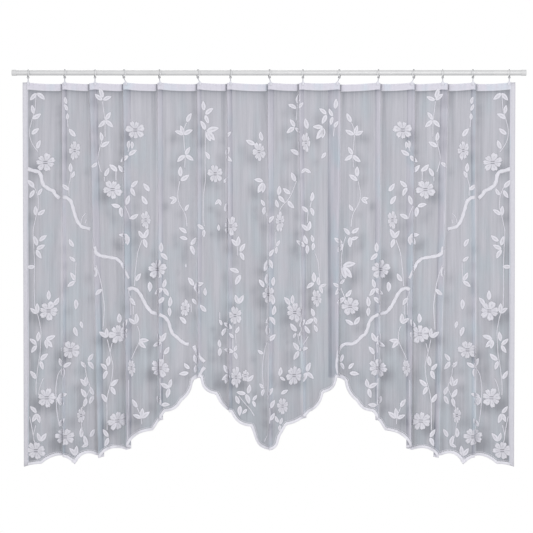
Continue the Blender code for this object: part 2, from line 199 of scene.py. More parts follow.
@dataclass
class Drape:
    """Hung shape of the cloth, worked out from its flat cut, in millimetres."""

    drop: float = 1450.0
    tape_height: float = 25.0
    heading_depth: float = 36.5
    heading_sag: float = 5.0
    sag_span: float = 187.0
    top_half_width: float = 929.0
    foot_half_width: float = 924.5
    side_swing: float = 5.0
    turn_top: float = 12.0
    turn_foot: float = 18.0
    opening: float = 0.12
    width_lost: float = 0.45
    loosening: float = 1.6
    steepest_wave: float = 0.75
    ripple: float = 0.35
    ripple_phase: float = 0.6
    ripple_step: float = 1.7
    sample_step: float = 0.5
    levels: int = 30
    below_hem: float = 10.0
    arc_steps: int = 8
    crinkle_growth: float = 110.0
    crinkle_swell: float = 0.35
    swell_stretch: float = 2.3
    turn_samples: int = 101
    probe: float = 0.6
    edge_room: float = 1.001
    layer_step: float = 14.0
    width: float = field(init=False)
    middles: list[float] = field(init=False)

    def __post_init__(self) -> None:
        """Work out the flat places, the level curves, the clips and the hem once."""
        half_turn = np.linspace(0.0, 0.5, self.turn_samples)
        turning = math.pi * smooth_step(half_turn)
        self.turn_reach = running_total(np.cos(turning), half_turn[1])[-1]
        self.turn_depth = 2.0 * running_total(np.sin(turning), half_turn[1])[-1]
        self.middles, self.width = self._flat_places()
        count = round(self.width / self.sample_step) + 1
        self.samples = np.linspace(0.0, self.width, count)
        self.step = self.samples[1]
        lower = np.linspace(self.tape_height, self.drop + self.below_hem, self.levels)
        self.falls = np.concatenate(([0.0], lower))
        self.curves = np.array([self._plan_curve(fall) for fall in self.falls])
        self.seen_lines = [self._seen_line(curve[0]) for curve in self.curves]
        self.clips = self._clip_places()
        self.hem_flats, self.hem_depths = self._hem_line()

    def middle_layer(self, fold: Fold) -> float:
        """Straight cloth between a fold's two turns."""
        return fold.overlap - 2.0 * self.turn_reach * self.turn_top

    def zone_length(self, fold: Fold) -> float:
        """Cloth from the start of a fold's first turn to the end of its second."""
        return 2.0 * self.turn_top + self.middle_layer(fold)

    def front_edge(self, fold: Fold) -> float:
        """Hung place of a fold's front edge at the heading."""
        return fold.ring + fold.side * (fold.lean - fold.grip)

    def _flat_places(self) -> tuple[list[float], float]:
        """Lay the folds out flat.

        Returns:
            Flat place of each fold's middle, and the whole flat width.
        """
        places: list[float] = []
        flat, hung, spare = 0.0, -self.top_half_width, 0.0
        for fold in PLEATS:
            middle = self.front_edge(fold) + 0.5 * fold.side * fold.overlap
            taken = 2.0 * self.turn_top + 2.0 * self.middle_layer(fold)
            flat += middle - hung + 0.5 * (spare + taken)
            places.append(flat)
            hung, spare = middle, taken
        return places, flat + self.top_half_width - hung + 0.5 * spare

    def _fold_angle(self, loose: float) -> Array:
        """Turn the cloth by its Z-folds alone.

        Args:
            loose: How far the folds have opened.

        Returns:
            Direction of the cloth in plan at each sample.
        """
        angle = np.zeros_like(self.samples)
        for fold, middle in zip(PLEATS, self.middles):
            half = 0.5 * self.zone_length(fold)
            turn = min(self.turn_top + (self.turn_foot - self.turn_top) * loose, half)
            there = smooth_step((self.samples - middle + half) / turn)
            back = smooth_step((self.samples - middle - half + turn) / turn)
            angle -= fold.side * math.pi * (1.0 - self.opening * loose) * (there - back)
        return angle

    def panels(self) -> list[Pair]:
        """Find the panels between folds.

        Returns:
            Start and end of each along the flat width.
        """
        marks = [middle + side * self.zone_length(fold)
                 for fold, middle in zip(PLEATS, self.middles) for side in (-0.5, 0.5)]
        marks = [0.0, *marks, self.width]
        return list(zip(marks[::2], marks[1::2]))

    def _targets(self, share: float, loose: float) -> tuple[Array, Array]:
        """Place the sides and the fold middles at one height.

        Args:
            share: Share of the drop.
            loose: How far the folds have opened.

        Returns:
            Their hung x and y.
        """
        narrowing = self.foot_half_width - self.top_half_width
        half_width = self.top_half_width + narrowing * share
        xs, ys = [-half_width], [self.side_swing * share]
        for fold in PLEATS:
            half_fold = 0.5 * fold.side * fold.overlap * (1.0 - self.width_lost * loose)
            xs.append(self.front_edge(fold) + fold.drift * share + half_fold)
            ys.append(self.turn_depth * self.turn_top + fold.swing * share)
        return np.array(xs + [half_width]), np.array(ys + [self.side_swing * share])

    def looseness(self, fall: Array) -> tuple[Array, Array]:
        """Share of the drop below the tape, and how far the folds have opened there."""
        share = np.maximum(fall - self.tape_height, 0.0) / (self.drop - self.tape_height)
        return share, share ** self.loosening

    def _reach(self, rate: Array) -> Array:
        """Way that the cloth goes between one fold's middle and the next."""
        marks = [0.0, *self.middles, self.width]
        return np.diff(np.interp(marks, self.samples, running_total(rate, self.step)))

    def _plan_curve(self, fall: float) -> list[Array]:
        """Lay the cloth in plan at one height.

        Args:
            fall: Distance below the heading.

        Returns:
            Hung x and y of every sample of the flat width.
        """
        share, loose = self.looseness(fall)
        angle = self._fold_angle(loose)
        target_x, target_y = self._targets(share, loose)
        straight = self._reach(np.cos(angle))
        windows = []
        for index, (start, end) in enumerate(self.panels()):
            place = np.clip((self.samples - start) / (end - start), 0.0, 1.0)
            windows.append(1.0 - np.cos(TURN * place))
            spare = straight[index] - (target_x[index + 1] - target_x[index])
            steepness = min(2.0 * math.sqrt(max(spare / (end - start), 0.0)), self.steepest_wave)
            ripple = self.ripple * math.sin(self.ripple_step * index + self.ripple_phase)
            wave = np.sin(TURN * place) + ripple * np.sin(2.0 * TURN * place)
            angle -= steepness / math.hypot(1.0, ripple) * wave
        lines = []
        for rate, target in ((np.cos(angle), target_x), (np.sin(angle), target_y)):
            reached = self._reach(rate)
            for index, (start, end) in enumerate(self.panels()):
                missing = target[index + 1] - target[index] - reached[index]
                rate = rate + missing / (end - start) * windows[index]
            lines.append(target[0] + running_total(rate, self.step))
        return lines

    def _seen_line(self, line: Array) -> tuple[Array, Array]:
        """Find the cloth that nothing covers from the front.

        Args:
            line: Hung x of every sample.

        Returns:
            Hung x and flat place of the samples that show.
        """
        from_right = np.minimum.accumulate(line[::-1])[::-1]
        from_left = np.maximum.accumulate(line)
        turned = sum(fold.side > 0 for fold in PLEATS)
        left_half = self.samples < 0.5 * (self.middles[turned - 1] + self.middles[turned])
        seen = np.where(left_half, line <= from_right, line >= from_left)
        return line[seen], self.samples[seen]

    def seen_flat(self, x: float, depth: float) -> float:
        """Flat place of the front-most cloth at a hung x and a depth."""
        level = int(np.abs(self.falls - (depth - self.heading_depth)).argmin())
        return float(np.interp(x, *self.seen_lines[level]))

    def seen_between(self, x: float, depth: float) -> float:
        """Find the front-most cloth, eased from level to level on the same layer.

        Args:
            x: Hung place along the rod.
            depth: Depth below the rod's axis.

        Returns:
            Its flat place.
        """
        fall = depth - self.heading_depth
        upper = int(np.clip(np.searchsorted(self.falls, fall) - 1, 0, self.levels - 1))
        share = (fall - self.falls[upper]) / (self.falls[upper + 1] - self.falls[upper])
        first, second = (float(np.interp(x, *self.seen_lines[upper + step])) for step in (0, 1))
        if abs(first - second) > self.layer_step:
            return second if share > 0.5 else first
        return first + (second - first) * min(max(share, 0.0), 1.0)

    def _clip_places(self) -> Array:
        """Place the clips along the cloth.

        Returns:
            Flat place of the middle of each.
        """
        places = [FOLDS[0].ring + self.top_half_width]
        for fold, middle in zip(PLEATS, self.middles):
            beyond = 0.5 * self.zone_length(fold) + fold.grip - self.turn_reach * self.turn_top
            places.append(middle + fold.side * beyond)
        return np.array(places + [self.width - self.top_half_width + FOLDS[-1].ring])

    def heading(self, flat: Array) -> Array:
        """Let the top edge sag between the clips.

        Args:
            flat: Places along the flat width.

        Returns:
            Depths of the top edge below the rod's axis.
        """
        right = np.clip(np.searchsorted(self.clips, flat), 1, len(self.clips) - 1)
        span = self.clips[right] - self.clips[right - 1]
        place = np.clip((flat - self.clips[right - 1]) / span, 0.0, 1.0)
        return self.heading_depth + self.heading_sag * span / self.sag_span * arch(place)

    def _hem_line(self) -> tuple[list[float], list[float]]:
        """Lay the scallops of the hem out flat.

        Returns:
            Flat place and depth of points along the hem.
        """
        mirrored = [Scallop(-row.x, row.depth, before.bow)
                    for row, before in zip(reversed(TAIL[:-1]), reversed(TAIL[1:]))]
        rows = list(TAIL + TONGUE) + mirrored
        flats, depths = [0.0], [float(rows[0].depth)]
        for row, after in zip(rows, rows[1:]):
            run, fall = after.x - row.x, after.depth - row.depth
            chord = math.hypot(run, fall)
            for place in np.linspace(0.0, 1.0, self.arc_steps + 1)[1:]:
                rise = after.bow * arch(place)
                depth = row.depth + fall * place - rise * run / chord
                flat = self.seen_flat(row.x + run * place + rise * fall / chord, depth)
                if flat > flats[-1] + self.step:
                    flats.append(flat)
                    depths.append(depth)
        flats[-1] = self.width
        return flats, depths

    def hem(self, flat: Array) -> Array:
        """Depth of the hem below the rod's axis."""
        return np.interp(flat, self.hem_flats, self.hem_depths)

    def plan(self, flat: Array, fall: Array) -> Array:
        """Find points of the cloth in plan.

        Args:
            flat: Places along the flat width.
            fall: Distances below the heading.

        Returns:
            Hung x and y, one row each.
        """
        level = np.clip(np.searchsorted(self.falls, fall, side="right") - 1, 0, self.levels - 1)
        down = ((fall - self.falls[level]) / (self.falls[level + 1] - self.falls[level]))[:, None]
        column = np.clip(flat / self.step, 0.0, len(self.samples) - self.edge_room)
        left = column.astype(int)
        along = (column - left)[:, None]
        upper, lower = (self.curves[row, :, left] * (1.0 - along)
                        + self.curves[row, :, left + 1] * along for row in (level, level + 1))
        return upper * (1.0 - down) + lower * down

    def crinkle(self, flat: Array, fall: Array) -> Array:
        """Raise fine upright ripples, none at the heading.

        Args:
            flat: Places along the flat width.
            fall: Distances below the heading.

        Returns:
            Height of the ripples in front of the cloth.
        """
        height = np.zeros_like(flat)
        for row in CRINKLES:
            wander = row.slant * np.sin(TURN * fall / self.drop + row.phase)
            swell = np.sin(flat / (self.swell_stretch * row.length) + row.phase) - 1.0
            wave = np.sin(TURN * (flat + wander) / row.length + row.phase)
            height += row.height * (1.0 + self.crinkle_swell * swell) * wave
        return height * smooth_step((fall - self.tape_height) / self.crinkle_growth)

    def surface(self, flat: Array, depth: Array, lift: Amount = 0.0) -> Array:
        """Places of points of the cloth in metres.

        Args:
            flat: Places along the flat width.
            depth: Depths below the rod's axis.
            lift: Distances in front of the cloth's middle surface.

        Returns:
            One row of x, y and z for each point.
        """
        fall = np.maximum(depth - self.heading(flat), 0.0)
        ahead = self.plan(np.minimum(flat + self.probe, self.width), fall)
        behind = self.plan(np.maximum(flat - self.probe, 0.0), fall)
        along = unit(ahead - behind)
        front = np.column_stack((along[:, 1], -along[:, 0]))
        place = self.plan(flat, fall) + front * (lift + self.crinkle(flat, fall))[:, None]
        return np.column_stack((place, -depth)) * MM


class Board:
    """Adds and joins the nodes of one material or node group."""

    def __init__(self, tree: Tree) -> None:
        """Take the node tree to work in."""
        self.tree = tree

    def feed(self, node: Node, inputs: dict) -> None:
        """Give inputs of a node their values or sockets.

        Args:
            node: The node.
            inputs: Values or sockets, by name or number.
        """
        for key, value in inputs.items():
            if isinstance(value, Socket):
                self.tree.links.new(value, node.inputs[key])
            else:
                node.inputs[key].default_value = value

    def add(self, kind: str, inputs: dict | None = None, **settings: object) -> Node:
        """Add one node.

        Args:
            kind: Blender's name of the node type.
            inputs: Values or sockets for its inputs, by name or number.
            settings: Properties of the node itself.

        Returns:
            The new node.
        """
        node = self.tree.nodes.new(kind)
        for name, value in settings.items():
            setattr(node, name, value)
        self.feed(node, inputs or {})
        return node

    def math(self, operation: str, *values: object, clamp: bool = False) -> Socket:
        """Add a Math node and give its result."""
        inputs = dict(enumerate(values))
        return self.add("ShaderNodeMath", inputs, operation=operation, use_clamp=clamp).outputs[0]

    def mix(self, factor: Socket, first: object, second: object) -> Socket:
        """Mix two colours; a Mix node's own are inputs 6 and 7 and output 2.

        Args:
            factor: Share of the second.
            first: Colour or socket.
            second: Colour or socket.

        Returns:
            The mixed colour.
        """
        inputs = {0: factor}
        for number, colour in ((6, first), (7, second)):
            inputs[number] = (*colour, 1.0) if isinstance(colour, tuple) else colour
        node = self.add("ShaderNodeMix", inputs, data_type="RGBA", clamp_factor=True)
        return node.outputs[2]

    def attribute(self, name: str, output: str) -> Socket:
        """Read one of the piece's own attributes."""
        return self.add("ShaderNodeAttribute", attribute_name=name).outputs[output]

    def parts(self, vector: Socket) -> bpy.types.NodeOutputs:
        """Split a vector into its X, Y and Z."""
        return self.add("ShaderNodeSeparateXYZ", {0: vector}).outputs

    def bump(self, height: Socket, distance: float, strength: float) -> Socket:
        """Turn a height into the direction that the surface faces."""
        inputs = {"Height": height, "Distance": distance, "Strength": strength}
        return self.add("ShaderNodeBump", inputs).outputs[0]

    def group(self, tree: Tree, inputs: dict) -> Socket:
        """Place a node group and give its result."""
        return self.add("ShaderNodeGroup", inputs, node_tree=tree).outputs[0]


def new_group(name: str, inputs: dict[str, str], output: str) -> tuple[Tree, Board]:
    """Start a shader node group with one float output.

    Args:
        name: Name of the group.
        inputs: Socket type of each input, by name.
        output: Name of the output.

    Returns:
        The group and the board that adds its nodes.
    """
    tree = bpy.data.node_groups.new(name, "ShaderNodeTree")
    for label, kind in inputs.items():
        tree.interface.new_socket(name=label, in_out="INPUT", socket_type=kind)
    tree.interface.new_socket(name=output, in_out="OUTPUT", socket_type="NodeSocketFloat")
    return tree, Board(tree)


def thread_lines() -> Tree:
    """Group for rows of thread: a ridge from 0 to 1 across each thread, a little uneven.

    Returns:
        The group.
    """
    kinds = dict.fromkeys(("Across", "Along", "Pitch", "Wander"), "NodeSocketFloat")
    tree, board = new_group("thread_lines", kinds, "Ridge")
    given = board.add("NodeGroupInput").outputs
    place = board.add("ShaderNodeCombineXYZ", {"X": given["Across"], "Y": given["Along"]})
    drift = board.add("ShaderNodeTexNoise", {"Vector": place.outputs[0], "Scale": DRIFT_SCALE})
    centred = board.math("SUBTRACT", drift.outputs[0], 0.5)
    moved = board.math("MULTIPLY_ADD", centred, given["Wander"], given["Across"])
    turns = board.math("DIVIDE", moved, given["Pitch"])
    wave = board.math("SINE", board.math("MULTIPLY", turns, TURN))
    board.add("NodeGroupOutput", {"Ridge": board.math("MULTIPLY_ADD", wave, 0.5, 0.5)})
    return tree


def soft_mottle() -> Tree:
    """Group for soft unevenness: a value near 0 that wanders up and down by Amount.

    Returns:
        The group.
    """
    kinds = {"Vector": "NodeSocketVector", "Scale": "NodeSocketFloat", "Amount": "NodeSocketFloat"}
    tree, board = new_group("soft_mottle", kinds, "Change")
    given = board.add("NodeGroupInput").outputs
    inputs = {"Vector": given["Vector"], "Scale": given["Scale"], "Detail": CLOUD_DETAIL}
    cloud = board.add("ShaderNodeTexNoise", inputs)
    centred = board.math("SUBTRACT", cloud.outputs[0], 0.5)
    board.add("NodeGroupOutput", {"Change": board.math("MULTIPLY", centred, given["Amount"])})
    return tree


@dataclass
class Effects:
    """The node groups that several finishes share."""

    lines: Tree = field(default_factory=thread_lines)
    mottle: Tree = field(default_factory=soft_mottle)

    def ridges(self, board: Board, across: Socket, along: Socket, pitch: float,
               wander: float) -> Socket:
        """Add rows of thread to a material, and give their ridge."""
        return board.group(self.lines, {"Across": across, "Along": along, "Pitch": pitch,
                                        "Wander": wander})

    def change(self, board: Board, place: Socket, scale: float, amount: float) -> Socket:
        """Add soft unevenness to a material, and give its value."""
        return board.group(self.mottle, {"Vector": place, "Scale": scale, "Amount": amount})


def start_material(name: str, steady: dict) -> tuple[Material, Board, Node]:
    """Start a material with a Principled shader.

    Args:
        name: Name of the material.
        steady: Values that are the same all over the surface, by socket.

    Returns:
        The material, the board that adds its nodes, and its shader.
    """
    material = bpy.data.materials.new(name)
    material.use_nodes = True
    board = Board(material.node_tree)
    shader = material.node_tree.nodes["Principled BSDF"]
    board.feed(shader, steady)
    return material, board, shader


@dataclass(frozen=True)
class NetFinish:
    """Sheer ribbed net: fine upright ribs, soft streaks and see-through gaps."""

    shade: Triple = (0.147, 0.156, 0.195)
    light: Triple = (0.748, 0.730, 0.810)
    cool_light: Triple = (0.660, 0.734, 0.812)
    roughness: float = 0.85
    sheen: float = 0.15
    rib_pitch: float = 0.0046
    rib_wander: float = 0.002
    mesh_pitch: float = 0.0017
    mesh_wander: float = 0.001
    mesh_height: float = 0.3
    streak_spread: Triple = (62.0, 2.2, 0.0)
    fine_spread: Triple = (260.0, 6.0, 0.0)
    hue_spread: Triple = (15.0, 5.0, 0.0)
    streak_change: float = 0.36
    fine_change: float = 0.28
    hue_change: float = 4.8
    cool_share: float = -0.10
    cool_by_depth: float = 0.48
    rib_change: float = 0.12
    gap_change: float = 0.10
    relief: float = 0.0006
    relief_strength: float = 0.6

    def material(self, name: str, effects: Effects) -> Material:
        """Build the material, which reads the cloth's own cut, tone and cover.

        Args:
            name: Name of the material.
            effects: Node groups that the finishes share.

        Returns:
            The material.
        """
        steady = {"Roughness": self.roughness, "Sheen Weight": self.sheen}
        made, board, shader = start_material(name, steady)
        cut = board.attribute("cut", "Vector")
        parts = board.parts(cut)
        ribs = effects.ridges(board, parts["X"], parts["Y"], self.rib_pitch, self.rib_wander)
        rows = effects.ridges(board, parts["Y"], parts["X"], self.mesh_pitch, self.mesh_wander)
        changes = []
        for spread, change in ((self.streak_spread, self.streak_change),
                               (self.fine_spread, self.fine_change),
                               (self.hue_spread, self.hue_change)):
            stretched = board.add("ShaderNodeVectorMath", {0: cut, 1: spread}, operation="MULTIPLY")
            changes.append(effects.change(board, stretched.outputs[0], 1.0, change))
        streak, fine, hue = changes
        tone = board.math("ADD", board.attribute("tone", "Fac"), streak)
        tone = board.math("ADD", tone, fine)
        coolness = board.math("MULTIPLY_ADD", parts["Y"], self.cool_by_depth, hue)
        coolness = board.math("ADD", coolness, self.cool_share)
        light = board.mix(coolness, self.light, self.cool_light)
        raised = board.math("SUBTRACT", ribs, 0.5)
        tone = board.math("MULTIPLY_ADD", raised, self.rib_change, tone)
        cover = board.math("MULTIPLY_ADD", raised, self.gap_change, board.attribute("cover", "Fac"))
        height = board.math("MULTIPLY_ADD", rows, self.mesh_height, ribs)
        board.feed(shader, {"Base Color": board.mix(tone, self.shade, light),
                            "Alpha": board.math("MULTIPLY", cover, 1.0, clamp=True),
                            "Normal": board.bump(height, self.relief, self.relief_strength)})
        return made


@dataclass(frozen=True)
class StitchFinish:
    """Satin stitch and woven tape: close threads that follow the shape they fill."""

    shade: Triple = (0.16, 0.16, 0.20)
    light: Triple = (0.86, 0.85, 0.92)
    roughness: float = 0.62
    sheen: float = 0.25
    thread: float = 0.0013
    thread_wander: float = 0.0006
    thread_change: float = 0.07
    row: float = 0.0034
    row_wander: float = 0.001
    row_change: float = 0.04
    row_height: float = 0.4
    mottle_scale: float = 120.0
    mottle_change: float = 0.14
    relief: float = 0.0005
    relief_strength: float = 0.7

    def material(self, name: str, effects: Effects) -> Material:
        """Build the material, which reads the piece's own thread directions and tone.

        Args:
            name: Name of the material.
            effects: Node groups that the finishes share.

        Returns:
            The material.
        """
        steady = {"Roughness": self.roughness, "Sheen Weight": self.sheen}
        made, board, shader = start_material(name, steady)
        parts = board.parts(board.attribute("thread", "Vector"))
        lines = effects.ridges(board, parts["Y"], parts["X"], self.thread, self.thread_wander)
        rows = effects.ridges(board, parts["X"], parts["Y"], self.row, self.row_wander)
        place = board.add("ShaderNodeTexCoord").outputs["Object"]
        change = effects.change(board, place, self.mottle_scale, self.mottle_change)
        tone = board.math("ADD", parts["Z"], change)
        for ridge, amount in ((lines, self.thread_change), (rows, self.row_change)):
            tone = board.math("MULTIPLY_ADD", board.math("SUBTRACT", ridge, 0.5), amount, tone)
        height = board.math("MULTIPLY_ADD", rows, self.row_height, lines)
        board.feed(shader, {"Base Color": board.mix(tone, self.shade, self.light),
                            "Normal": board.bump(height, self.relief, self.relief_strength)})
        return made


@dataclass(frozen=True)
class HardFinish:
    """Painted metal or moulded plastic with faint handling marks."""

    shade: Triple
    light: Triple
    roughness: float
    coat: float
    # colour that the piece's tone darkens towards: painted shade on the rod and the rings
    dark: Triple = (0.07, 0.07, 0.085)
    cloud_scale: float = 35.0
    cloud_share: float = 0.9
    speckle_scale: float = 900.0
    speckle_share: float = 0.25
    mark_level: float = 0.6
    gloss_change: float = 0.16
    relief: float = 0.00008
    relief_strength: float = 0.5

    def material(self, name: str, effects: Effects) -> Material:
        """Build the material on Object coordinates and the piece's tone, which darkens it towards
        the dark colour.

        Args:
            name: Name of the material.
            effects: Node groups that the finishes share.

        Returns:
            The material.
        """
        steady = {"Roughness": self.roughness, "Coat Weight": self.coat}
        made, board, shader = start_material(name, steady)
        place = board.add("ShaderNodeTexCoord").outputs["Object"]
        cloud = effects.change(board, place, self.cloud_scale, 1.0)
        speckle = effects.change(board, place, self.speckle_scale, 1.0)
        marks = board.math("MULTIPLY_ADD", cloud, self.cloud_share, self.mark_level)
        marks = board.math("MULTIPLY_ADD", speckle, self.speckle_share, marks)
        plain = board.mix(marks, self.shade, self.light)
        # darkened by the piece's tone: painted shade on the rod's underside and off the ring's
        # front; the clip's stem is darker towards the top
        toned = board.mix(board.attribute("tone", "Fac"), self.dark, plain)
        rough = board.math("MULTIPLY_ADD", cloud, self.gloss_change, self.roughness)
        board.feed(shader, {"Base Color": toned, "Roughness": rough,
                            "Normal": board.bump(speckle, self.relief, self.relief_strength)})
        return made


@dataclass
class Wardrobe:
    """Every finish of the part, made once and handed to the pieces."""

    effects: Effects = field(default_factory=Effects)

    def __post_init__(self) -> None:
        """Build one material for each slot."""
        paint = ((0.54, 0.545, 0.555), (0.66, 0.66, 0.665))
        finishes = {
            Slot.NET: NetFinish(),
            Slot.EMBROIDERY: StitchFinish(),
            Slot.TAPE: StitchFinish(light=(0.84, 0.84, 0.91), thread=0.0028, row=0.0016,
                                    thread_change=0.14, sheen=0.1),
            Slot.ROD: HardFinish(*paint, roughness=0.34, coat=0.35),
            Slot.CAP: HardFinish(*paint, roughness=0.48, coat=0.0),
            Slot.RING: HardFinish((0.58, 0.58, 0.60), (0.78, 0.78, 0.79), 0.22, 0.5),
            Slot.CLIP: HardFinish((0.52, 0.52, 0.57), (0.64, 0.64, 0.70), 0.36, 0.2),
        }
        self.materials = {slot: finish.material(slot.value, self.effects)
                          for slot, finish in finishes.items()}

    def dress(self, piece: Piece, slot: Slot, *nodes: str) -> Piece:
        """Give a piece its finish, its body and the solids it stands for.

        Args:
            piece: The finished piece.
            slot: The record's finish that it takes.
            nodes: Names of the solids that it replaces.

        Returns:
            The same piece.
        """
        piece.data.materials.clear()
        piece.data.materials.append(self.materials[slot])
        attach(piece, BODY)
        if nodes:
            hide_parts(*nodes)
        log.info("%s: %d faces, finish %s", piece.name, len(piece.data.polygons), slot.value)
        return piece


def add_object(name: str, data: bpy.types.ID) -> Piece:
    """Put an object with its data into the scene.

    Args:
        name: Name of the object.
        data: Its mesh, camera or light.

    Returns:
        The object.
    """
    made = bpy.data.objects.new(name, data)
    bpy.context.scene.collection.objects.link(made)
    return made


def new_piece(name: str, shape: Shape, smooth: bool = True) -> Piece:
    """Turn a bmesh into a piece at the origin and free the bmesh.

    Args:
        name: Name of the piece.
        shape: Its shape, in metres.
        smooth: Whether its faces are shaded smooth.

    Returns:
        The piece.
    """
    mesh = bpy.data.meshes.new(name)
    shape.to_mesh(mesh)
    shape.free()
    if smooth:
        mesh.shade_smooth()
    return add_object(name, mesh)


def give_thickness(piece: Piece, thickness: float) -> None:
    """Give a sheet its thickness, in millimetres, half on each side of its middle."""
    solid = piece.modifiers.new("thickness", "SOLIDIFY")
    solid.thickness, solid.offset = thickness * MM, 0.0


def read_rows(values: bpy.types.bpy_prop_collection, key: str) -> Array:
    """Read vectors of a mesh's points.

    Args:
        values: The points, or the data of an attribute.
        key: Name of the vector.

    Returns:
        One row for each point.
    """
    rows = np.empty(len(values) * 3)
    values.foreach_get(key, rows)
    return rows.reshape(-1, 3)


def read_places(piece: Piece) -> Array:
    """Places of a piece's points, one row each."""
    return read_rows(piece.data.vertices, "co")


def write_places(mesh: Mesh, places: Array) -> None:
    """Move a mesh's points."""
    mesh.vertices.foreach_set("co", places.ravel())
    mesh.update()


def write_attribute(mesh: Mesh, name: str, values: Array) -> None:
    """Store one number, or one vector, for each point of a mesh.

    Args:
        mesh: Mesh that keeps them.
        name: Name of the attribute.
        values: One row for each point.
    """
    kind, key = ("FLOAT_VECTOR", "vector") if values.ndim > 1 else ("FLOAT", "value")
    made = mesh.attributes.new(name, kind, "POINT")
    made.data.foreach_set(key, values.ravel().astype(np.float32))


def paint_flank_light(mesh: Mesh, most: float, share: float = 0.8) -> None:
    """Paint light into threads where the cloth turns away from the front, against its shade.

    Args:
        mesh: Sheet with its thread directions and tones.
        most: Most painted light that a tone gets.
        share: Painted light that cloth edge-on to the front would get without that limit.
    """
    sideways = 1.0 - np.abs(read_rows(mesh.vertices, "normal")[:, 1])
    data = mesh.attributes["thread"].data
    threads = read_rows(data, "vector")
    threads[:, 2] += np.minimum(share * sideways, most)
    data.foreach_set("vector", threads.ravel())


def edges_of(corners: list[bmesh.types.BMVert]) -> list[bmesh.types.BMEdge]:
    """Every edge at some corners, once."""
    return list(dict.fromkeys(edge for corner in corners for edge in corner.link_edges))


def ease(shape: Shape, edges: list[bmesh.types.BMEdge], width: float,
         segments: int = 2) -> None:
    """Round edges of a shape by a width in millimetres."""
    bmesh.ops.bevel(shape, geom=edges, offset=width * MM, offset_type="OFFSET",
                    segments=segments, affect="EDGES", profile=0.5, material=-1)


def spin(shape: Shape, outline: list, steps: int) -> None:
    """Sweep the corners and edges of an outline once round the X axis."""
    bmesh.ops.spin(shape, geom=outline, cent=(0, 0, 0), axis=(1, 0, 0), angle=TURN, steps=steps,
                   use_merge=True, use_duplicate=False)


class Shade(NamedTuple):
    """Soft shadow that a motif throws through the net."""

    x: float
    depth: float
    spread: float
    strength: float


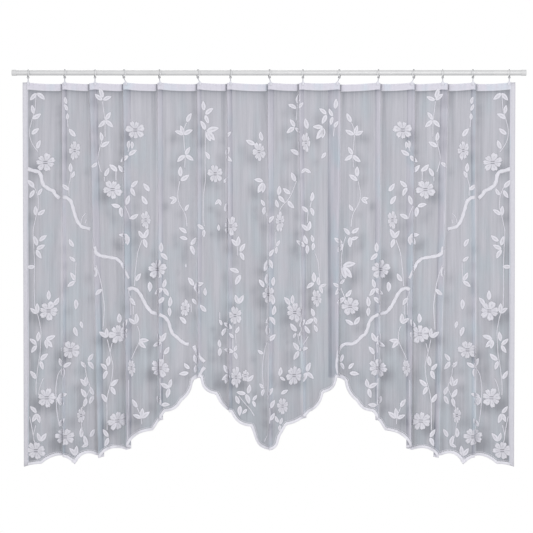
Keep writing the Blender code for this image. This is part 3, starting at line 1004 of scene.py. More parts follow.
@dataclass
class Net:
    """The sheer cloth itself, with its columns close in the folds, in millimetres.

    The painted lights and shade of a fold are pairs: the strength at the foot, and what is
    added to it at the heading. The painted shades below them are pairs of strength and reach.
    """

    drape: Drape
    fold_spacing: float = 2.0
    panel_spacing: float = 6.0
    heading_rows: tuple[float, ...] = (0.0, 8.0, 16.0, 25.0, 27.5, 31.0, 36.0, 43.0)
    rows_below: int = 92
    side_hem: float = 17.0
    cut_drop: float = 1450.0
    tone: float = 0.355
    cover: float = 0.84
    heading_tone: float = 1.0
    heading_cover: float = 0.72
    side_tone: float = 0.86
    side_cover: float = 0.96
    overlap_light: Pair = (0.26, -0.03)
    overlap_fade: float = 6.0
    edge_light: Pair = (0.13, 0.08)
    edge_width: float = 6.0
    gap_light: Pair = (0.70, -0.40)
    gap_place: float = 2.0
    gap_width: float = 4.5
    light_fade: float = 480.0
    edge_shade: Pair = (0.02, 0.20)
    shade_start: float = 5.0
    shade_reach: float = 22.0
    shade_fade: float = 330.0
    tape_shade: Pair = (0.36, 15.0)
    side_shade: Pair = (0.26, 17.0)
    hem_shade: Pair = (0.10, 110.0)
    # painted shade lines: a dark line right under the tape, and one beside each front edge across
    # the heading
    tape_shade_line: float = 0.15
    edge_shadow_line: float = 0.75
    line_reach: float = 5.0

    def columns(self) -> Array:
        """Space the columns, close in the folds.

        Returns:
            Flat places, with one at each edge of a side hem and a fold.
        """
        panels = self.drape.panels()
        marks = {self.side_hem, self.drape.width - self.side_hem}
        marks.update(mark for panel in panels for mark in panel)
        places = [0.0]
        for start, end in zip(sorted(marks), sorted(marks)[1:]):
            in_panel = any(first <= start and end <= last for first, last in panels)
            spacing = self.panel_spacing if in_panel else self.fold_spacing
            places += list(np.linspace(start, end, math.ceil((end - start) / spacing) + 1)[1:])
        return np.array(places)

    def build(self, shades: list[Shade]) -> Piece:
        """Lay a grid into the folds and store its cut, tone and cover.

        Args:
            shades: Shadows of the motifs.

        Returns:
            The net, one layer of cloth.
        """
        columns = self.columns()
        across = len(columns) - 1
        last = len(self.heading_rows) - 1
        down = last + self.rows_below
        shape = bmesh.new()
        bmesh.ops.create_grid(shape, x_segments=across, y_segments=down, size=1.0)
        piece = new_piece("curtain_net", shape)
        grid = read_places(piece)
        flat = columns[np.rint(0.5 * (grid[:, 0] + 1.0) * across).astype(int)]
        row = np.rint(0.5 * (1.0 - grid[:, 1]) * down).astype(int)
        top = self.drape.heading(flat)
        foot = self.drape.hem(flat) - top
        start = self.heading_rows[-1]
        below = start + (foot - start) * (row - last) / self.rows_below
        fall = np.where(row <= last, np.array(self.heading_rows)[np.minimum(row, last)], below)
        depth = top + fall
        write_places(piece.data, self.drape.surface(flat, depth))
        cut = np.column_stack((flat, depth, np.zeros_like(flat))) * MM
        write_attribute(piece.data, "cut", cut)
        write_attribute(piece.data, "tone", self.tones(flat, fall, depth, shades))
        write_attribute(piece.data, "cover", self.covers(flat, fall))
        return piece

    def tones(self, flat: Array, fall: Array, depth: Array, shades: list[Shade]) -> Array:
        """Lightness of the net's points.

        Args:
            flat: Places along the flat width.
            fall: Distances below the heading.
            depth: Depths below the rod's axis.
            shades: Shadows of the motifs.

        Returns:
            The net's tone with painted light and shade: layers, folds, shadows, tape and hems.
        """
        hung = self.drape.plan(flat, fall)
        tone = np.full_like(flat, self.tone)
        for shade in shades:
            away = (hung[:, 0] - shade.x) ** 2 + (depth - shade.depth) ** 2
            tone -= shade.strength * np.exp(-away / (2.0 * shade.spread ** 2))
        tone += self.fold_tones(flat, fall)
        near_tape = fall - self.drape.tape_height
        below = np.maximum(near_tape, 0.0)
        side = np.minimum(flat, self.drape.width - flat)
        inside = np.maximum(side - self.side_hem, 0.0)
        above = self.drape.hem(flat) - depth
        # painted shade under the tape and inside the side hems, and darker just above the hem
        tone -= self.tape_shade_line * bell(below, self.line_reach)
        for away, (strength, reach) in ((below, self.tape_shade), (inside, self.side_shade),
                                        (above, self.hem_shade)):
            tone -= strength * np.exp(-away / reach)
        tone = np.where(side < self.side_hem + self.drape.step, self.side_tone, tone)
        # painted shadow lines beside the front edges darken the heading
        heading = self.heading_tone - self.heading_shadow_lines(flat)
        return np.where(near_tape < self.drape.step, heading, tone)

    def heading_shadow_lines(self, flat: Array) -> Array:
        """Paint an upright shadow line across the heading beside each front edge.

        Args:
            flat: Places along the flat width.

        Returns:
            What the painted shadow lines take from the tone.
        """
        change = np.zeros_like(flat)
        for fold, middle in zip(PLEATS, self.drape.middles):
            edge = 0.5 * self.drape.zone_length(fold) - 0.5 * self.drape.turn_top
            outside = -fold.side * (flat - middle) - edge - fold.overlap
            change += bell(outside - self.gap_place, self.line_reach)
        return self.edge_shadow_line * change

    def fold_tones(self, flat: Array, fall: Array) -> Array:
        """Painted light where layers overlap and along front edges, painted shade beside them.

        Args:
            flat: Places along the flat width.
            fall: Distances below the heading.

        Returns:
            The painted light and shade that the folds add to the tone of each point.
        """
        drape = self.drape
        _, loose = drape.looseness(fall)
        turn = drape.turn_top + (drape.turn_foot - drape.turn_top) * loose
        fade = bell(fall, self.light_fade)
        pairs = (self.overlap_light, self.edge_light, self.gap_light)
        overlap_light, edge_light, gap_light = (foot + more * fade for foot, more in pairs)
        foot, more = self.edge_shade
        strength = foot + more * np.exp(-fall / self.shade_fade)
        change = np.zeros_like(flat)
        for fold, middle in zip(PLEATS, drape.middles):
            away = fold.side * (flat - middle)
            edge = 0.5 * drape.zone_length(fold) - 0.5 * turn
            overlap = fold.overlap * (1.0 - drape.width_lost * loose)
            beyond, outside = away - edge, -away - edge - overlap
            fading = smooth_step((overlap + self.gap_place - beyond) / self.overlap_fade)
            # painted light where layers lie over each other
            change += overlap_light * np.where(beyond > 0.0, fading, np.abs(away) < edge + overlap)
            # painted light on the front turn, which faces aside from the lamps
            change += edge_light * bell(beyond, self.edge_width)
            # painted shade beside the front edge
            shaded = bell(outside, self.shade_reach) - bell(outside, self.shade_start)
            change -= strength * np.where(outside > 0.0, shaded, 0.0)
            # painted light just outside the front edge, against the fold's cast shadow there
            change += gap_light * bell(outside - self.gap_place, self.gap_width)
        return change

    def covers(self, flat: Array, fall: Array) -> Array:
        """Work out how close the net looks.

        Args:
            flat: Places along the flat width.
            fall: Distances below the heading.

        Returns:
            Share of each point that thread covers.
        """
        side = np.minimum(flat, self.drape.width - flat)
        hemmed = side < self.side_hem + self.drape.step
        cover = np.where(hemmed, self.side_cover, self.cover)
        headed = fall < self.drape.tape_height + self.drape.step
        return np.where(headed & ~hemmed, self.heading_cover, cover)


class Spot(NamedTuple):
    """One point of a patch."""

    place: float   # along the flat width, or hung x
    height: float  # above the rod's axis
    lift: float    # in front of the cloth
    along: float   # distance along its threads
    across: float  # distance across its threads
    tone: float    # lightness


class Patchwork:
    """Raised patches on the cloth, collected by flat place, height and lift."""

    def __init__(self, drape: Drape, as_seen: bool = False) -> None:
        """Start with no patches.

        Args:
            drape: Shape of the cloth.
            as_seen: Whether patches are given by hung x instead of flat place. Such a patch
                goes on the front-most cloth, and is parted where it crosses a fold's edge.
        """
        self.drape = drape
        self.as_seen = as_seen
        self.shape = bmesh.new()
        self.thread = self.shape.verts.layers.float_vector.new("thread")

    def add(self, columns: int, rows: int, place: Callable[[float, float], Spot]) -> None:
        """Add a grid patch.

        Args:
            columns: Faces along the patch.
            rows: Faces across it.
            place: Gives the spot for a share of the patch from 0 to 1 along and from -1 to
                1 across.
        """
        made = bmesh.ops.create_grid(self.shape, x_segments=columns, y_segments=rows, size=1.0)
        for corner in made["verts"]:
            spot = place(0.5 * (corner.co.x + 1.0), corner.co.y)
            flat = spot.place
            if self.as_seen:
                flat = self.drape.seen_between(flat, -spot.height)
            corner.co = (min(max(flat, 0.0), self.drape.width), spot.height, spot.lift)
            corner[self.thread] = (spot.along * MM, spot.across * MM, spot.tone)
        parted = [edge for edge in edges_of(made["verts"])
                  if abs(edge.verts[0].co.x - edge.verts[1].co.x) > self.drape.layer_step]
        bmesh.ops.delete(self.shape, geom=parted, context="EDGES")

    def ribbon(self, route: Array, widths: Array, tone: float, rows: int = 2,
               shift: float = 0.0, lift: float = 0.0, edge_shade: float = 0.06) -> None:
        """Add a ribbon along a route.

        Args:
            route: Flat places and heights, one row each.
            widths: Width at each place of the route.
            tone: Lightness of its middle.
            rows: Faces across it.
            shift: 0 to lie astride the route, 1 to lie wholly on its left.
            lift: Distance in front of the cloth.
            edge_shade: How much darker its edges are than its middle.
        """
        steps = unit(np.gradient(route, axis=0))
        lengths = route_lengths(route)

        def place(share: float, across: float) -> Spot:
            """Spot of the ribbon.

            Args:
                share: Share of the route.
                across: From -1 to 1 across it.

            Returns:
                The spot.
            """
            index = round(share * (len(route) - 1))
            side = 0.5 * widths[index] * (across + shift)
            return Spot(route[index, 0] - steps[index, 1] * side,
                        route[index, 1] + steps[index, 0] * side, lift, lengths[index], side,
                        tone - edge_shade * abs(across))

        self.add(len(route) - 1, rows, place)

    def finish(self, name: str, thickness: float, most_flank_light: float = 0.0) -> Piece:
        """Lay every patch on the cloth and give it thickness.

        Args:
            name: Name of the piece.
            thickness: Thickness in millimetres.
            most_flank_light: Most painted light that a tone gets where the cloth turns away from
                the front.

        Returns:
            The piece.
        """
        bmesh.ops.remove_doubles(self.shape, verts=self.shape.verts, dist=PATCH_WELD)
        piece = new_piece(name, self.shape)
        chart = read_places(piece)
        write_places(piece.data, self.drape.surface(chart[:, 0], -chart[:, 1], chart[:, 2]))
        # painted light on threads where the cloth turns away from the front
        paint_flank_light(piece.data, most_flank_light)
        give_thickness(piece, thickness)
        return piece


def smooth_route(points: Array, spacing: float, softness: float) -> Array:
    """Evenly spaced places along a route, with its corners rounded.

    Args:
        points: Corners of the route, one row each.
        spacing: Distance between places.
        softness: Length of route over which a corner is rounded.

    Returns:
        The places, from the first corner to the last.
    """
    lengths = route_lengths(points)
    count = max(round(lengths[-1] / spacing), 4) + 1
    marks = np.linspace(0.0, lengths[-1], count)
    line = np.column_stack([np.interp(marks, lengths, points[:, axis]) for axis in (0, 1)])
    reach = min(max(round(0.5 * softness / spacing), 1), count - 1)
    window = np.hanning(2 * reach + 3)[1:-1]
    padded = np.pad(line, ((reach, reach), (0, 0)), mode="reflect", reflect_type="odd")
    columns = [np.convolve(padded[:, axis], window / window.sum(), mode="valid") for axis in (0, 1)]
    return np.column_stack(columns)


class Spray(NamedTuple):
    """Leaves round one point of a stem, each towards an hour of the clock."""

    x: float
    depth: float
    hours: tuple[float, ...]
    size: float = 1.0


class Bloom(NamedTuple):
    """A flower as it shows: narrower where its cloth turns away."""

    x: float
    depth: float
    width: float = 72.0
    height: float = 72.0


class Bough(NamedTuple):
    """A stretch of the branch between two folds, tapering along its route."""

    start: float
    end: float
    route: Route


class Chart(NamedTuple):
    """Sprays, flowers, stems and branches of one part of the design."""

    sprays: tuple[Spray, ...]
    blooms: tuple[Bloom, ...]
    stems: tuple[Route, ...]
    boughs: tuple[Bough, ...]


OUTER_SPRAYS = tuple(Spray(*row) for row in (
    (-876, 76, (7.4, 4.3)), (-887, 156, (11.6,)), (-894, 174, (2,)), (-896, 233, (1.7,)),
    (-875, 288, (0.7,)), (-884, 434, (10.6,)), (-883, 442, (7.1,)), (-870, 463, (1,), 0.8),
    (-878, 540, (11.9,)), (-873, 537, (1.8,)), (-873, 653, (11.4,)), (-866, 636, (1.7,)),
    (-877, 666, (2.1, 5)), (-880, 731, (8.9,)), (-763, 119, (11.6,), 0.75),
    (-760, 144, (11.2,), 0.75), (-761, 179, (12,), 0.75), (-729, 241, (10.7,)),
    (-747, 376, (11.9,)), (-745, 397, (0.7,), 0.75), (-754, 443, (10.3,), 0.9), (-736, 657, (11,)),
    (-730, 712, (10.3,), 0.75), (-731, 785, (11, 7.8)), (-729, 853, (6,)), (-711, 936, (5.5,), 0.8),
    (-735, 957, (5.4,)), (-627, 104, (10.3, 2.2)), (-626, 95, (11.3,)),
    (-617, 179, (1.1, 7.5, 4.4)), (-630, 259, (11.7,)), (-635, 280, (2,)), (-647, 338, (7.7,), 0.8),
    (-619, 392, (0.9,)), (-572, 373, (10.4,)), (-546, 376, (10.7,)), (-530, 312, (1.9, 7.7)),
    (-529, 255, (6,), 0.9), (-517, 258, (6,), 0.7), (-521, 432, (1.6, 5.1)), (-539, 499, (0.6,)),
    (-559, 505, (9.5, 5.8)), (-526, 551, (2.1,)), (-530, 614, (9.2, 7.1, 6.2)),
    (-451, 448, (10.8,)), (-458, 497, (10.9,)), (-472, 625, (10.9, 0.8, 5.4)), (-502, 787, (1.1,)),
    (-655, 772, (12,)), (-628, 815, (7.6,)), (-406, 678, (12,)), (-410, 680, (4.4,)),
    (-399, 812, (0.5, 7.8, 4.8)), (-394, 845, (7.5,)), (-375, 883, (12.2, 5.9)), (-450, 787, (6,)),
    (-830, 858, (12,)), (-813, 878, (1.1,)), (-871, 908, (11.9, 10.2)), (-872, 1013, (0.3,)),
    (-842, 1005, (2.3, 5.7, 4.7)), (-874, 1026, (10.3, 7.2)), (-862, 1085, (1.6, 5.4)),
    (-878, 1155, (10.8,)), (-798, 1222, (2.4, 5.4, 4.8)), (-875, 1283, (10.5, 6.9, 5.4)),
    (-862, 1390, (11.4, 1.2)), (-777, 1111, (11.2, 2, 6)), (-684, 1088, (1.2, 4.8)),
    (-691, 1113, (10.7,), 0.8), (-691, 1183, (10.8, 12.1)), (-661, 1217, (11.2, 6.9)),
    (-690, 1226, (11, 6.5)), (-793, 1336, (1.1,)), (-709, 1377, (12,)), (-676, 1375, (1,)),
    (-686, 1407, (11.5,)), (-681, 1400, (8.2,), 0.8), (-729, 1445, (10.7, 12.2)),
    (-608, 998, (11.9, 10.1)), (-565, 944, (12,)), (-551, 962, (0.9,)), (-606, 1106, (0.3,)),
    (-608, 1120, (10.4, 6.8)), (-595, 1181, (1.6, 5.1)), (-610, 1243, (10.9,)),
    (-604, 1373, (10.8, 6.8)), (-480, 1302, (0.2, 9.7, 1.7)), (-495, 1262, (10.9,)),
    (-525, 847, (4.8,)), (-500, 947, (12, 10.2)), (-491, 1010, (2.9, 4.5)),
    (-405, 1015, (11.1, 0.9, 8.1)), (-397, 1062, (1.2,)), (-374, 1188, (9.9, 0.4, 6.5)),
    (-408, 1253, (11.2, 2.8)), (-311, 187, (0.9,)), (-322, 234, (9.8, 11.4, 2)),
    (-316, 310, (1, 7.6, 4.1)), (-333, 393, (12,), 1.1), (-334, 408, (1.8,)),
    (-347, 475, (9.2, 7.7), 0.8), (-317, 522, (1,), 0.75), (-310, 605, (10.2,)),
    (-306, 628, (9.5,), 0.8), (-299, 1117, (10.6,), 0.85), (-302, 1131, (8.8,)),
))
CENTRE_SPRAYS = tuple(Spray(*row) for row in (
    (-245, 144, (11.8,)), (-241, 158, (1.7, 5.3)), (-240, 216, (11.1,)),
    (-236, 220, (2.5, 4.6), 1.3), (-236, 222, (5.2,)), (-224, 327, (11.1,), 0.9),
    (-160, 243, (1.3,), 0.7), (-162, 312, (0.7, 4.5), 0.9), (-171, 415, (1.2,), 0.65),
    (-189, 476, (7.2, 5.4), 0.7), (-166, 524, (0.3,), 0.85), (-189, 597, (11.9,), 0.7),
    (-245, 590, (10.3, 6), 0.8), (-296, 650, (1.2, 5.3)), (-313, 735, (12,), 0.4),
    (-284, 804, (10.9, 2.4, 4.8)), (-291, 851, (4.7,), 0.75), (-312, 947, (10.6,)),
    (-236, 902, (10.6,)), (-239, 842, (11.9,), 0.8), (-119, 655, (10.7, 0.2)),
    (-110, 676, (1.1, 5.1)), (-112, 753, (9.7,)), (-107, 761, (6.9,), 1.2), (-115, 872, (11.4, 1)),
    (-178, 953, (11.2,), 0.7), (-138, 965, (10.2,)), (-178, 992, (1,), 0.9),
    (-133, 1001, (10.6,), 0.7), (-127, 983, (0.9,), 0.75), (-185, 1036, (11.8, 6.2), 0.85),
    (-132, 1053, (9.5,)), (-132, 1052, (0.7, 5.3), 0.75), (-272, 1098, (11.4,)),
    (-280, 1132, (0.2,), 0.8), (-151, 1136, (11, 7.7, 6.7)), (-83, 1163, (1.5,), 0.9),
    (-87, 1209, (9.3, 5.4)), (-80, 1209, (0.4,)), (-63, 1235, (1.3, 5.2), 0.7),
    (-112, 1249, (11.3,)), (-108, 1253, (6.1,)), (-82, 1266, (7.5,), 0.7), (-25, 257, (11.6,)),
    (-52, 272, (9.9,)), (-21, 410, (9.4,)), (-21, 412, (6.9,), 1.2), (-20, 414, (6.2,)),
    (-16, 503, (11, 6.2), 0.8), (-5, 567, (1.4,)), (29, 655, (0.9, 6.1), 0.7), (-3, 694, (1.2,)),
    (-1, 703, (6.7,), 1.25), (0, 703, (5.3,)), (-18, 810, (10.9,)), (-9, 797, (0.1,)),
    (15, 805, (0.2,)), (15, 876, (12,)), (14, 915, (0.4,)), (6, 919, (7.2, 5.1), 0.9),
    (-5, 991, (11.9,), 1.1), (-5, 1013, (1.6,), 1.1), (-20, 1061, (10.2,), 0.7),
    (-18, 1192, (10.6, 6.5), 0.75), (-7, 1219, (1.2,)), (6, 1266, (0.9,)), (4, 1312, (1,), 0.85),
    (105, 134, (9.8,)), (108, 117, (0.2,)), (113, 134, (1.2,), 0.7), (98, 204, (10.9, 7.8)),
    (99, 205, (4.8,), 0.75), (145, 213, (11.6,), 1.15), (115, 309, (10,)), (204, 206, (9.1,), 1.1),
    (206, 208, (7.1,), 1.35), (207, 210, (6.3,)), (217, 158, (10.3, 6.9)),
    (241, 165, (11.1, 6.5), 0.9), (249, 137, (0.2,)), (246, 208, (1,), 0.85),
    (214, 300, (7.2,), 0.75), (35, 463, (0.2, 4.6)), (35, 509, (11.5,), 0.8), (81, 458, (10.3,)),
    (70, 482, (4.6,)), (101, 411, (11.2,)), (122, 380, (1.4,), 0.75), (132, 362, (4,), 0.75),
    (159, 487, (0.3,)), (148, 526, (10.5,), 0.9), (157, 508, (5.4,), 0.85), (147, 597, (10.5, 0.4)),
    (144, 648, (11.4, 6)), (135, 656, (10.2,)), (167, 640, (11.6, 6.2), 0.8),
    (170, 791, (11.9, 7.7)), (188, 803, (11.8, 5.2), 0.85), (190, 805, (2.4,), 0.75),
    (169, 919, (11.5, 5.4), 0.8), (167, 926, (7.8,)), (80, 877, (10.8,)), (88, 873, (0.1,)),
    (106, 976, (10.7,)), (115, 960, (1.1,)), (103, 981, (6.9,), 0.6), (112, 994, (1.2,), 0.65),
    (154, 983, (10.9,)), (181, 977, (11.2,), 0.75), (113, 1048, (10.8, 2.4, 7)), (39, 1145, (0.3,)),
    (41, 1146, (4.2,), 0.65), (142, 1128, (0.7, 4.4, 6.6)), (44, 1212, (2,), 0.85),
    (36, 1320, (11.2,), 0.8), (41, 1327, (0.6, 6), 0.7), (278, 643, (10.1, 7)), (305, 612, (10.6,)),
    (306, 618, (6,)), (278, 729, (2.6,), 1.35), (278, 731, (4.7,), 1.45), (277, 733, (5.4,), 1.15),
    (267, 808, (10, 7), 0.85), (267, 797, (1.5,), 0.7), (288, 846, (1.3, 7.8)),
    (319, 950, (10.1, 1.2)), (268, 1092, (0.7, 5), 0.85),
))
OUTER_BLOOMS = tuple(Bloom(*row) for row in (
    (-843, 338), (-733, 293, 42, 78), (-504, 216), (-589, 441), (-465, 555, 38, 68), (-831, 898),
    (-421, 741), (-568, 985), (-749, 1045), (-518, 1113, 30, 68), (-410, 1113), (-838, 1225),
    (-709, 1292, 32, 60), (-572, 1312), (-770, 1373), (-878, 1424),
))
CENTRE_BLOOMS = tuple(Bloom(*row) for row in (
    (-316, 887, 36, 66), (306, 880, 66, 73), (-203, 381, 56, 73), (-38, 297, 50, 73),
    (139, 262, 33, 75), (-144, 578, 53, 72), (41, 562, 33, 80), (-2, 836, 44, 68),
    (-128, 915, 50, 75), (179, 849, 37, 70), (97, 904, 62, 75), (-124, 1147, 44, 79),
    (-89, 1141, 30, 44), (95, 1142, 62, 76), (51, 1257, 40, 71),
))
OUTER_STEMS = (
    (-878, 80, -882, 143, -893, 176, -902, 210, -902, 242, -896, 262, -882, 284, -870, 299),
    (-885, 431, -878, 446, -870, 462, -868, 508, -877, 538, -890, 597, -887, 640, -884, 714,
     -885, 819, -882, 890, -869, 915, -858, 975, -862, 1060, -872, 1120, -878, 1180, -877, 1215),
    (-761, 171, -758, 205), (-747, 376, -749, 402, -756, 424, -754, 464),
    (-627, 108, -624, 140, -618, 176, -617, 242),
    (-630, 257, -640, 290, -646, 321, -641, 350, -632, 374), (-524, 254, -532, 298),
    (-478, 630, -495, 676, -504, 751, -507, 804),
    (-653, 725, -640, 762, -628, 811, -619, 875, -621, 925, -625, 968), (-590, 1018, -598, 1055),
    (-608, 1005, -597, 1056, -586, 1102, -590, 1151, -602, 1196, -610, 1234, -610, 1347),
    (-311, 187, -322, 213, -322, 240, -318, 293), (-316, 315, -318, 358),
    (-336, 409, -342, 438, -345, 464, -342, 482, -335, 502, -323, 518, -313, 540, -309, 580),
    (-728, 714, -731, 789),
    (-780, 1112, -797, 1135, -804, 1185, -804, 1212, -801, 1274, -792, 1332),
    (-530, 1158, -533, 1385), (-497, 954, -487, 977, -487, 1011, -508, 1056, -519, 1080),
    (-411, 1152, -408, 1246), (-405, 1018, -408, 1055), (-397, 1062, -398, 1085),
    (-496, 1262, -481, 1294, -479, 1324), (-710, 570, -706, 543, -691, 529), (-694, 568, -690, 553),
    (-522, 840, -521, 915), (-511, 877, -510, 912), (-530, 815, -527, 845), (-620, 392, -620, 410),
    (-577, 373, -577, 405), (-544, 502, -529, 532, -526, 551),
    (-696, 1093, -689, 1148, -673, 1186, -699, 1244, -709, 1285),
    (-709, 1318, -705, 1347, -699, 1379), (-902, 1296, -892, 1341, -886, 1379),
    (-879, 1328, -889, 1373, -876, 1411), (-868, 1215, -862, 1180, -850, 1152),
)
CENTRE_STEMS = (
    (-240, 220, -241, 348, -239, 404, -246, 453, -249, 548, -244, 578),
    (-16, 508, -5, 553, -3, 597, -1, 669), (26, 600, 26, 655),
    (-7, 1016, -14, 1034, -18, 1056, -23, 1087, -24, 1141, -21, 1185),
    (-7, 1224, -1, 1244, 4, 1275, 3, 1312, 0, 1350, -7, 1372, -18, 1392), (108, 117, 103, 180),
    (112, 258, 113, 290), (104, 407, 86, 455, 75, 475, 48, 502, 39, 522), (159, 487, 155, 508),
    (172, 680, 184, 707, 190, 778), (147, 524, 144, 566), (246, 208, 243, 240),
    (-119, 655, -118, 690), (-294, 871, -293, 902), (-186, 902, -186, 928), (-127, 983, -124, 1020),
    (-136, 1003, -136, 1043), (108, 985, 115, 1025), (148, 994, 128, 1025),
    (289, 618, 280, 650, 273, 690, 271, 778), (271, 811, 282, 838, 290, 856),
    (-114, 1217, -94, 1243, -74, 1261, -56, 1292),
)
OUTER_BOUGHS = (
    Bough(14, 13, (-911, 362, -889, 369, -867, 374, -859, 388, -857, 407, -849, 426, -827, 440,
                   -813, 445, -807, 459, -791, 473)),
    Bough(13, 12, (-777, 469, -762, 471, -747, 484, -740, 508, -731, 540, -720, 566, -707, 581,
                   -674, 589)),
    Bough(14, 9, (-659, 656, -652, 680, -637, 690, -606, 695, -575, 700, -557, 716, -546, 742,
                  -529, 776)),
    Bough(13, 12, (-532, 818, -517, 811, -499, 818, -484, 836, -473, 858, -460, 882, -442, 904,
                   -415, 911, -393, 920, -378, 938, -371, 965, -362, 985, -349, 994, -333, 1010,
                   -315, 1022, -302, 1023)),
)
CENTRE_BOUGHS = (
    Bough(13, 12, (-284, 1030, -273, 1052, -260, 1074, -243, 1090)),
    Bough(13, 9, (-243, 1110, -253, 1123, -260, 1138, -279, 1147, -291, 1157)),
    Bough(12, 7, (304, 1022, 286, 1022, 272, 1032, 263, 1048, 259, 1070, 254, 1096, 256, 1123,
                  263, 1138, 287, 1151)),
)
OUTER_CHART = Chart(OUTER_SPRAYS, OUTER_BLOOMS, OUTER_STEMS, OUTER_BOUGHS)
CENTRE_CHART = Chart(CENTRE_SPRAYS, CENTRE_BLOOMS, CENTRE_STEMS, CENTRE_BOUGHS)


@dataclass(frozen=True)
class LeafForm:
    """Pointed oval with a half-open middle, in millimetres."""

    length: float = 37.0
    width: float = 16.5
    gap: float = 1.0
    size_change: float = 0.06
    size_step: float = 2.4
    bend: float = 1.6
    bend_step: float = 1.7
    fullest: float = 0.85
    roundness: float = 0.8
    slit_width: float = 0.24
    slit_shade: float = 0.34
    columns: int = 12
    rows: int = 6

    def spot(self, share: float, across: float, size: float, bend: float, tone: float) -> Spot:
        """Point of the leaf before it is turned to its hour.

        Args:
            share: Share of the way from foot to tip.
            across: From -1 at one side to 1 at the other.
            size: Size of this leaf beside the usual one.
            bend: Sideways bow of this leaf.
            tone: Lightness of its thread.

        Returns:
            A spot whose place is sideways and whose height is ahead from the stem.
        """
        half = 0.5 * self.width * size * math.sin(math.pi * share ** self.fullest) ** self.roundness
        swell = math.sin(math.pi * share)
        along = self.length * size * share
        sideways = across * half + bend * swell
        slit = bell(across, self.slit_width) * swell ** 2
        return Spot(sideways, self.gap + along, 0.0, sideways, along, tone - self.slit_shade * slit)


@dataclass(frozen=True)
class FlowerForm:
    """Deeply parted petals with dipped tips round a centre; radii are shares of its reach."""

    petals: int = 7
    turn: float = 0.16
    turn_step: float = 2.1
    petal_change: float = 0.13
    petal_step: float = 1.3
    fullness: float = 0.5
    notch: float = 0.50
    first_notch: float = 0.72
    first_width: float = 0.16
    tip_dip: float = 0.10
    tip_start: float = 0.85
    long_change: float = 0.06
    short_change: float = 0.05
    gap_width: float = 0.26
    gap_start: float = 0.2
    gap_fade: float = 0.4
    gap_shade: float = 0.45
    vein_width: float = 0.05
    vein_place: float = 0.62
    vein_length: float = 0.13
    vein_shade: float = 0.28
    centre_reach: float = 0.55
    centre_shade: float = 0.17
    thread_run: float = 36.0
    columns: int = 12
    rows: int = 8

    def spot(self, share: float, radius: float, count: int, tone: float) -> Spot:
        """Point of the flower on a circle of radius 1.

        Args:
            share: Share of the way round it.
            radius: Share of the way from its centre to its edge.
            count: Number of this flower, which sets its own unevenness.
            tone: Lightness of its thread.

        Returns:
            A spot whose place and height are counted from the flower's middle.
        """
        angle = -TURN * share
        uneven = angle + self.petal_change * math.sin(2.0 * angle + self.petal_step * count)
        lobe = abs(math.sin(0.5 * self.petals * uneven))
        first = bell(math.sin(0.5 * angle), self.first_width)
        notch = self.notch + (self.first_notch - self.notch) * first
        dip = self.tip_dip * max(0.0, (lobe - self.tip_start) / (1.0 - self.tip_start)) ** 2
        length = (1.0 + self.long_change * math.sin(2.0 * angle + count)
                  + self.short_change * math.sin(5.0 * angle - count))
        reach = radius * length * (notch + (1.0 - notch) * lobe ** self.fullness - dip)
        gap = bell(lobe, self.gap_width) * smooth_step((radius - self.gap_start) / self.gap_fade)
        vein = bell(1.0 - lobe, self.vein_width) * bell(radius - self.vein_place, self.vein_length)
        tone -= self.centre_shade * bell(radius, self.centre_reach)
        tone -= self.gap_shade * gap + self.vein_shade * vein
        turned = angle + self.turn * math.sin(self.turn_step * count)
        return Spot(reach * math.cos(turned), reach * math.sin(turned), 0.0,
                    self.thread_run * share * TURN * radius, self.thread_run * radius, tone)


